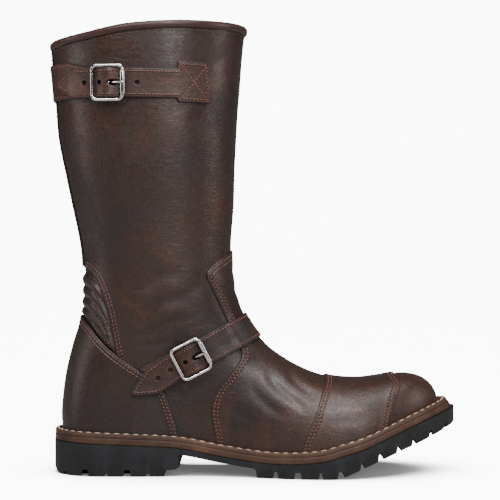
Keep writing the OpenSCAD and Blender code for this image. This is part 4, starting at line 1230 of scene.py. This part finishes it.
def chape_loop(buckle):
    """Leather round the hinge bar, open in the middle for the prong."""
    parts = []
    for s in (-1, 1):
        w = np.array([2.7, 2.9, 3.6, 10.2, 10.8, 11.0]) * s
        radius = np.array([2.1, 2.6, 2.8, 2.8, 2.6, 2.1])
        parts.append(tube(buckle.bar(w), radius, 20, up=buckle.out))
    return joined(parts)


for label, buckle, chape in (("upper", UPPER, up_chape), ("ankle", ANKLE, an_chape)):
    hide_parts(label + "_chape")
    v, fs = chape_loop(buckle)
    make(label + "_chape_loop", v, fs, strap_calf, "boot",
         attrs=plain_edges(len(v)))

# Stitching on the straps.
strap_thread = {"upper": Thread(), "ankle": Thread()}


def outer_face(cut_parts):
    """Points of a cut net on the surface, and in (u, turn)."""
    points = cut_parts[0]
    return surface(points[:, 0], points[:, 1]), points


def sew_strap(cut_parts, f_values, thread, **options):
    points, tris, hi = cut_parts
    both = np.column_stack([points[:, :2], f_values, hi])
    for chain in contour(both, tris, STRAP_ROW):
        path, out = on_top(chain[:, :2], chain[:, 3])
        thread.sew(path, out, **options)


OPTIONS = dict(pitch=2.7, length=1.7, radius=0.3)
sew_strap(up_cut, inside(up_outline, *UPPER.lw(outer_face(up_cut)[0])), strap_thread["upper"],
          **OPTIONS)


def line_on_strap(buckle, thread, ends, top):
    (l0, w0), (l1, w1) = ends
    k = np.linspace(0, 1, 30)
    x, z = buckle.side(mix(l0, l1, k), mix(w0, w1, k))
    u, turn = place_in_side(x, z)
    path, out = on_top(np.stack([u, turn], 1), top)
    thread.sew(path, out, **OPTIONS)


for ends in (((55, -10.6), (73.6, 13.9)), ((55, 13.9), (73.6, -10.6))):
    line_on_strap(UPPER, strap_thread["upper"], ends, 2.2)
sew_strap(an_cut, an_outline_f(*outer_face(an_cut)), strap_thread["ankle"], **OPTIONS)
chapes = Thread()
for parts, f in ((up_chape_cut, up_chape_f), (an_chape_cut, an_chape_f)):
    sew_strap(parts, f(*outer_face(parts)), chapes, **OPTIONS)
# Places along a strap where the bend of its tail starts and ends; their points are worked out
# below, but nothing in the script bends the tail.
TAIL_BEND = (-13.2, -19.5)
chapes.build("chape_stitches", rust)
sewn.build("upper_stitches", rust)
for label, buckle, piece in (("upper", UPPER, up_strap), ("ankle", ANKLE, an_strap)):
    stitches = strap_thread[label].build(label + "_strap_stitches", rust, body=None)
    start, end = (metres(buckle.point(l, 0, 3)) for l in TAIL_BEND)
    for part in (piece, stitches):
        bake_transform(part)


# ------------------------------------------------------------------ buckles
def buckle_path(buckle, radius=CORNER_R, steps=9):
    """Closed rounded rectangle of the frame wire."""
    l, w = [], []
    for cl, cw, a0 in ((1, 1, 0), (-1, 1, 90), (-1, -1, 180), (1, -1, 270)):
        for k in range(steps):
            a = math.radians(a0 + 90 * k / (steps - 1))
            l.append(cl * (BAR_L - radius) + radius * math.cos(a))
            w.append(cw * (RAIL_W - radius) + radius * math.sin(a))
    l, w = np.array(l), np.array(w)
    h = mix(buckle.rear_h, buckle.front_h, (l + BAR_L) / (2 * BAR_L))
    return buckle.point(l, w, h)


for label, buckle in (("upper", UPPER), ("ankle", ANKLE)):
    out = buckle.out
    parts = [tube(buckle_path(buckle), WIRE_R, 20, closed=True, up=out)]
    parts.append(tube(buckle.bar([-13.6, -13.5, -13, 13, 13.5, 13.6]),
                      [0.5, 1.0, WIRE_R, WIRE_R, 1.0, 0.5], 16, up=out))
    mean_h = (buckle.front_h + buckle.rear_h) / 2
    for s in (-1, 1):
        post = np.array([HINGE_H - 0.4, mix(HINGE_H, mean_h, 0.5), mean_h + 0.2])
        parts.append(tube(buckle.point(0, s * (RAIL_W + 0.1), post), POST_R, 14, up=buckle.along))
    v, fs = joined(parts)
    make(label + "_buckle_wire", v, fs, nickel, label + "_buckle",
         [label + "_buckle_frame"])
    half = RAIL_W - CORNER_R - 0.4
    w = np.array([-1, -0.985, -0.95, -0.9, 0.9, 0.95, 0.985, 1]) * half
    r = np.array([1.35, 1.7, 1.9, ROLLER_R, ROLLER_R, 1.9, 1.7, 1.35])
    v, fs = tube(buckle.point(BAR_L, w, buckle.front_h), r, 24, up=out)
    make(label + "_roller_tube", v, fs, nickel, label + "_roller",
         [label + "_roller"])
    rise = buckle.front_h + ROLLER_R + 0.3 + PRONG_R - HINGE_H
    reach = np.linspace(0, 1, 16)
    l = np.concatenate([reach * BAR_L, BAR_L + np.array([0.8, 1.5, 2.0, 2.3])])
    h = HINGE_H + np.concatenate([rise * reach + 0.5 * np.sin(np.pi * reach),
                                  rise + np.array([0.3, 0.4, 0.4, 0.35])])
    r = np.concatenate([mix(1.25, 1.0, reach), [0.98, 0.85, 0.6, 0.25]])
    parts = [tube(buckle.point(l, 0, h), r, 16, up=buckle.across, squash=0.9)]
    parts.append(tube(buckle.bar([-1.6, -1.5, -1.3, 1.3, 1.5, 1.6]),
                      [1.75, 2.15, 2.35, 2.35, 2.15, 1.75], 20, up=out))
    v, fs = joined(parts)
    make(label + "_prong_pin", v, fs, nickel, label + "_prong",
         [label + "_prong"])


# ------------------------------------------------------------------ sole
def outline(inset, toe, n=150):
    a, b = HEEL_X + inset, toe - inset
    x = (a + b) / 2 - (b - a) / 2 * np.cos(np.pi * np.arange(n + 1) / n)
    one = np.stack([x, sole_y(x, -1.0, inset, toe)], 1)
    two = np.stack([x, sole_y(x, 1.0, inset, toe)], 1)[-2:0:-1]
    return np.vstack([one, two])


def edge_sweep(section):
    """Ring round the sole. section: (inset, depth under the welt's top, place of the toe)."""
    rows = []
    for inset, depth, toe_x in section:
        xy = outline(inset, toe_x)
        rows.append(np.column_stack([xy, welt_z(xy[:, 0]) - depth]))
    return np.vstack(rows), [ring_faces(len(rows), len(rows[0]))[:, [0, 3, 2, 1]]]


WELT = [(9.5, 0.0, 149.6), (6.2, 0.0, 149.6), (4.4, -0.12, 149.6), (3.7, 0.0, 149.6),
        (3.15, 0.42, 149.6), (2.6, 0.5, 149.6), (2.05, 0.42, 149.6), (1.6, 0.06, 149.7),
        (1.1, 0.12, 149.8), (0.75, 0.4, 149.9), (0.45, 0.9, 150.1), (0.34, 1.6, 150.4),
        (0.32, 2.6, 150.9), (0.34, 3.3, 151.2), (0.6, 3.58, 151.4), (3.0, 3.6, 151.4),
        (9.5, 3.6, 151.4)]
MIDSOLE = [(12, 3.62, 151.6), (2.0, 3.64, 151.6), (0.6, 3.66, 151.6), (0.34, 3.9, 151.9),
           (0.3, 5.0, 152.4), (0.3, 7.4, 153.6), (0.45, 8.2, 153.9), (0.9, 8.66, 154.1),
           (2.5, 8.75, 154.1), (12, 8.75, 154.1)]
for name, section, hide, node in (("welt_strip", WELT, welt_hide, "welt"),
                                  ("midsole_edge", MIDSOLE, board_hide, "midsole")):
    v, fs = edge_sweep(section)
    make(name, v, fs, hide, "boot", [node])
welt_thread = Thread()
path = outline(2.6, 149.6, 400)
path = np.column_stack([path, welt_z(path[:, 0]) - 0.28])
path = np.vstack([path, path[:1]])
welt_thread.sew(path, np.tile([0.0, 0.0, 1.0], (len(path), 1)), pitch=7.2, length=5.4, radius=0.6)
welt_thread.build("welt_stitches", cream, slot="welt_leather")


def tread_net(x0, x1, step, grooves):
    """Grid of (x, y) with a line along the middle of every groove."""
    xs = np.linspace(x0, x1, int((x1 - x0) / step) + 1)
    middles = np.array([place for place, wide in grooves])
    far = np.abs(xs[:, None] - middles[None]).min(1) > 0.8
    xs = np.sort(np.concatenate([xs[far], middles]))
    ys = np.linspace(-62, 62, int(124 / step) + 1)
    a, b = np.meshgrid(xs, ys, indexing="ij")
    m = len(ys)
    i, j = grid(len(xs) - 1, m - 1)
    p, q, r, t = i * m + j, (i + 1) * m + j, (i + 1) * m + j + 1, i * m + j + 1
    tris = np.vstack([np.stack([p, q, r], 1), np.stack([p, r, t], 1)])
    return np.stack([a.ravel(), b.ravel()], 1), tris


SIDE_GROOVES = [(15.4, 2.0), (31.9, 3.8), (49.1, 1.6), (64, 3.0), (80, 1.2), (94, 2.0), (108, 1.0),
                (120, 1.0), (134, 1.0)]
CENTRE_GROOVES = [(x + 8, 3) for x, w in SIDE_GROOVES if x < 125]
HEEL_GROOVES = [(-145, 1.2), (-129.2, 3.8), (-113, 1.2), (-97.1, 3.8), (-81.2, 1.2)]
SHALLOW = 2.6
# Width of the steep side of a lug and the share of its height there.
LUG_EDGE, LUG_SHARE = 0.85, 0.86
SOLE_EDGE = outline(0.0, SHEET_TOE_X, 220)


def between(x, grooves):
    f = np.full(x.shape, 99.0)
    for place, wide in grooves:
        f = np.minimum(f, np.abs(x - place) - wide / 2)
    return f


def fore_lugs(x, y):
    side = least(between(x, SIDE_GROOVES), np.abs(y) - 19, x - 0.3)
    centre = least(between(x, CENTRE_GROOVES), 15 - np.abs(y), x - 0.3)
    return np.maximum(side, centre)


def heel_lugs(x, y):
    side = least(between(x, HEEL_GROOVES), np.abs(y) - 24, -68 - x)
    middle = least(-68 - x, 24.5 - np.abs(y))
    return np.maximum(side, middle)


def heel_base(x):
    narrow = between(x, [g for g in HEEL_GROOVES if g[1] < 2]) < 2.5
    return np.where(narrow, SHALLOW, GROOVE) + 2 * ease((x + 61) / 3)


def tread_piece(name, lugs, grooves, x0, x1, base_z, ground_z, top_z, nodes, front_x=None,
                lean=0.0):
    """Rubber with lugs: its underside is a height field, its sides stand up to top_z."""
    points, tris = tread_net(x0, x1, 2.4, grooves)
    points = np.column_stack([points, inside(SOLE_EDGE, points[:, 0], points[:, 1])])
    if front_x is not None:
        points[:, 2] = np.minimum(points[:, 2], front_x - points[:, 0])
    points, tris = cut(points, tris, 0.0, drop=True, wrap=False)
    for level in (0.35, 1.1):
        points, tris = cut(points, tris, level, wrap=False)
    points = np.column_stack([points, lugs(points[:, 0], points[:, 1])])
    for level in (0.0, LUG_EDGE, 1.15, 1.7):
        points, tris = cut(points, tris, level, col=3, wrap=False)
    x, y, edge = points[:, 0], points[:, 1], points[:, 2]
    f = lugs(x, y)
    share = np.where(f < LUG_EDGE, LUG_SHARE * np.clip(f / LUG_EDGE, 0, 1),
                     LUG_SHARE + (1 - LUG_SHARE) * closing((f - LUG_EDGE) / LUG_EDGE, 2))
    z = mix(base_z(x), ground_z(x), share) + 0.8 * (1 - closing(edge / 1.1, 2)) * (f > 0)
    corner = np.stack([x, y], 1)[tris]
    a, b = corner[:, 1] - corner[:, 0], corner[:, 2] - corner[:, 0]
    flip = a[:, 0] * b[:, 1] - a[:, 1] * b[:, 0] > 0
    tris = np.where(flip[:, None], tris[:, ::-1], tris)
    under = np.column_stack([x, y, z])
    high = np.column_stack([x, y, top_z(x)])
    rim = rim_of(tris)
    n = len(points)
    walls = np.stack([rim[:, 1], rim[:, 0], rim[:, 0] + n, rim[:, 1] + n], 1)
    if lean:
        high[:, 0] += np.where(np.abs(x - front_x) < 1e-6, lean, 0)
    return make(name, np.vstack([under, high]), [tris, tris[:, ::-1] + n, walls], rubber, "boot",
                nodes, sharp=38)


def sheet_low(x):
    return welt_z(x) - SOLE_DROP - SHEET_T


tread_piece(
    "rubber_sole", fore_lugs, SIDE_GROOVES + CENTRE_GROOVES, -158, 158,
    lambda x: mix(sheet_low(x), foot_z(x) + GROOVE, ease((x + 2) / 4)), lambda x: foot_z(x),
    lambda x: welt_z(x) - SOLE_DROP - 0.05, ["outsole"])
tread_piece(
    "rubber_heel", heel_lugs, HEEL_GROOVES, -158, -55,
    heel_base, lambda x: np.interp(x, [-156, -153, -149.5], [4.6, 1.2, 0]),
    lambda x: sheet_low(x) + 0.02, ["heel_block"], front_x=-57.6, lean=2.0)


def slab(name, inset, toe_x, low, high, crown, material, nodes):
    """Board in the shoe, thinner towards its rim."""
    a, b = HEEL_X + inset, toe_x - inset
    n, m = 120, 22
    x = (a + b) / 2 - (b - a) / 2 * np.cos(np.pi * (np.arange(n + 1)) / n)
    t = -np.cos(np.pi * np.arange(m + 1) / m)
    left, right = sole_y(x, -1.0, inset, toe_x), sole_y(x, 1.0, inset, toe_x)
    y = mix(left[:, None], right[:, None], (t[None] + 1) / 2)
    edge = np.minimum(np.minimum(y - left[:, None], right[:, None] - y),
                      np.minimum(x - a, b - x)[:, None])
    full = closing(edge / 2.0, 2)
    mid = (low + high) / 2
    base = welt_z(x)[:, None]
    top = base + mid + (high - mid) * full + crown * (1 - t[None] ** 2)
    bottom = base + mid - (mid - low) * full
    xx = np.broadcast_to(x[:, None], y.shape)
    verts = np.vstack([np.stack([xx, y, z], -1).reshape(-1, 3) for z in (top, bottom)])
    i, j = grid(n, m)
    w = m + 1
    faces = np.stack([i * w + j, (i + 1) * w + j, (i + 1) * w + j + 1, i * w + j + 1], 1)
    return make(name, verts, [faces, faces[:, ::-1] + (n + 1) * w], material, "boot",
                nodes)


bed = slab("footbed_pad", 15.6, UPPER_TOE_X, 0.9, 4.85, 0.5, lining_cloth,
           ["footbed"])
for node, finish in (("insole_board", felt), ("cork_filler", cork_cloth), ("shank", steel),
                     ("heel_nails", steel)):
    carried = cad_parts[node]
    carried.data.materials.clear()
    carried.data.materials.append(finish)

# ------------------------------------------------------------------ camera, light, floor
scene = bpy.context.scene
EYE_DISTANCE, EYE_HEIGHT, EYE_X = 1200.0, 171.5, -4.0
VIEW_WIDTH = 0.782 * 500
camera = bpy.data.objects.new("camera", bpy.data.cameras.new("camera"))
camera.data.sensor_width = 36.0
camera.data.lens = 36.0 * EYE_DISTANCE / VIEW_WIDTH
camera.location = metres([EYE_X, -EYE_DISTANCE, EYE_HEIGHT])
camera.rotation_euler = (math.pi / 2, 0, 0)
camera.data.clip_end = 100
scene.collection.objects.link(camera)
scene.camera = camera


def softbox(name, place, aim, size, power, colour=(1, 1, 1)):
    light = bpy.data.lights.new(name, "AREA")
    light.shape = "RECTANGLE"
    light.size, light.size_y = size
    light.energy = power
    light.color = colour
    lamp = bpy.data.objects.new(name, light)
    lamp.location = place
    direction = np.array(aim) - np.array(place)
    lamp.rotation_euler = Vector(direction).to_track_quat("-Z", "Y").to_euler()
    scene.collection.objects.link(lamp)
    return lamp


softbox("top_light", (0.15, -0.35, 1.75), (0, 0, 0.1), (1.0, 0.6), 22)
softbox("vamp_light", (0.2, -1.05, 1.35), (0.02, -0.05, 0.05), (0.45, 0.3), 17)
softbox("front_light", (0.62, -1.7, 0.72), (-0.05, 0, 0.24), (0.5, 0.6), 16)
softbox("key_light", (-0.7, -1.3, 1.15), (0, 0, 0.08), (0.4, 0.4), 13)
softbox("toe_light", (1.5, -0.25, 0.65), (0, 0, 0.17), (0.4, 1.0), 7)
softbox("back_light", (-1.35, -0.25, 0.55), (0, 0, 0.15), (0.35, 0.9), 5)


def backdrop():
    """Pale floor that rises into a wall far behind."""
    reach, bend, height = 6.0, 1.5, 6.0
    rows = [(-reach, 0.0), (reach - bend, 0.0)]
    rows += [(reach - bend + bend * math.sin(a), bend - bend * math.cos(a))
             for a in np.linspace(0.1, math.pi / 2, 14)]
    rows.append((reach, height))
    low_z = cad_box[0][2]
    verts, faces = [], []
    for y, z in rows:
        verts += [(-9, y, z + low_z), (9, y, z + low_z)]
    for i in range(len(rows) - 1):
        faces.append((2 * i, 2 * i + 1, 2 * i + 3, 2 * i + 2))
    mesh = bpy.data.meshes.new("floor")
    mesh.from_pydata(verts, [], faces)
    mesh.polygons.foreach_set("use_smooth", [True] * len(mesh.polygons))
    material, tree, out = shader("pale_floor")
    out.inputs["Base Color"].default_value = (0.45, 0.45, 0.445, 1)
    out.inputs["Roughness"].default_value = 0.75
    out.inputs["Specular IOR Level"].default_value = 0.15
    out.inputs["Emission Color"].default_value = (1, 1, 0.99, 1)
    seen = tree.nodes.new("ShaderNodeLightPath").outputs["Is Camera Ray"]
    s = Nodes(tree)
    # Painted shadow: ambient occlusion dims the floor's camera-only glow near the boot, which
    # paints a soft contact shadow under and around it.
    painted_shadow_ao = tree.nodes.new("ShaderNodeAmbientOcclusion")
    painted_shadow_ao.inputs["Distance"].default_value = 0.09
    glow_with_painted_shadow = s.span(painted_shadow_ao.outputs["AO"], 0.25, 0.98, 0.12, 10.5)
    s.link(s.math("MULTIPLY", seen, glow_with_painted_shadow), out.inputs["Emission Strength"])
    mesh.materials.append(material)
    floor = bpy.data.objects.new("floor", mesh)
    scene.collection.objects.link(floor)


backdrop()
world = bpy.data.worlds.new("studio")
world.use_nodes = True
world.node_tree.nodes["Background"].inputs["Color"].default_value = (1, 1, 1, 1)
world.node_tree.nodes["Background"].inputs["Strength"].default_value = 0.08
scene.world = world
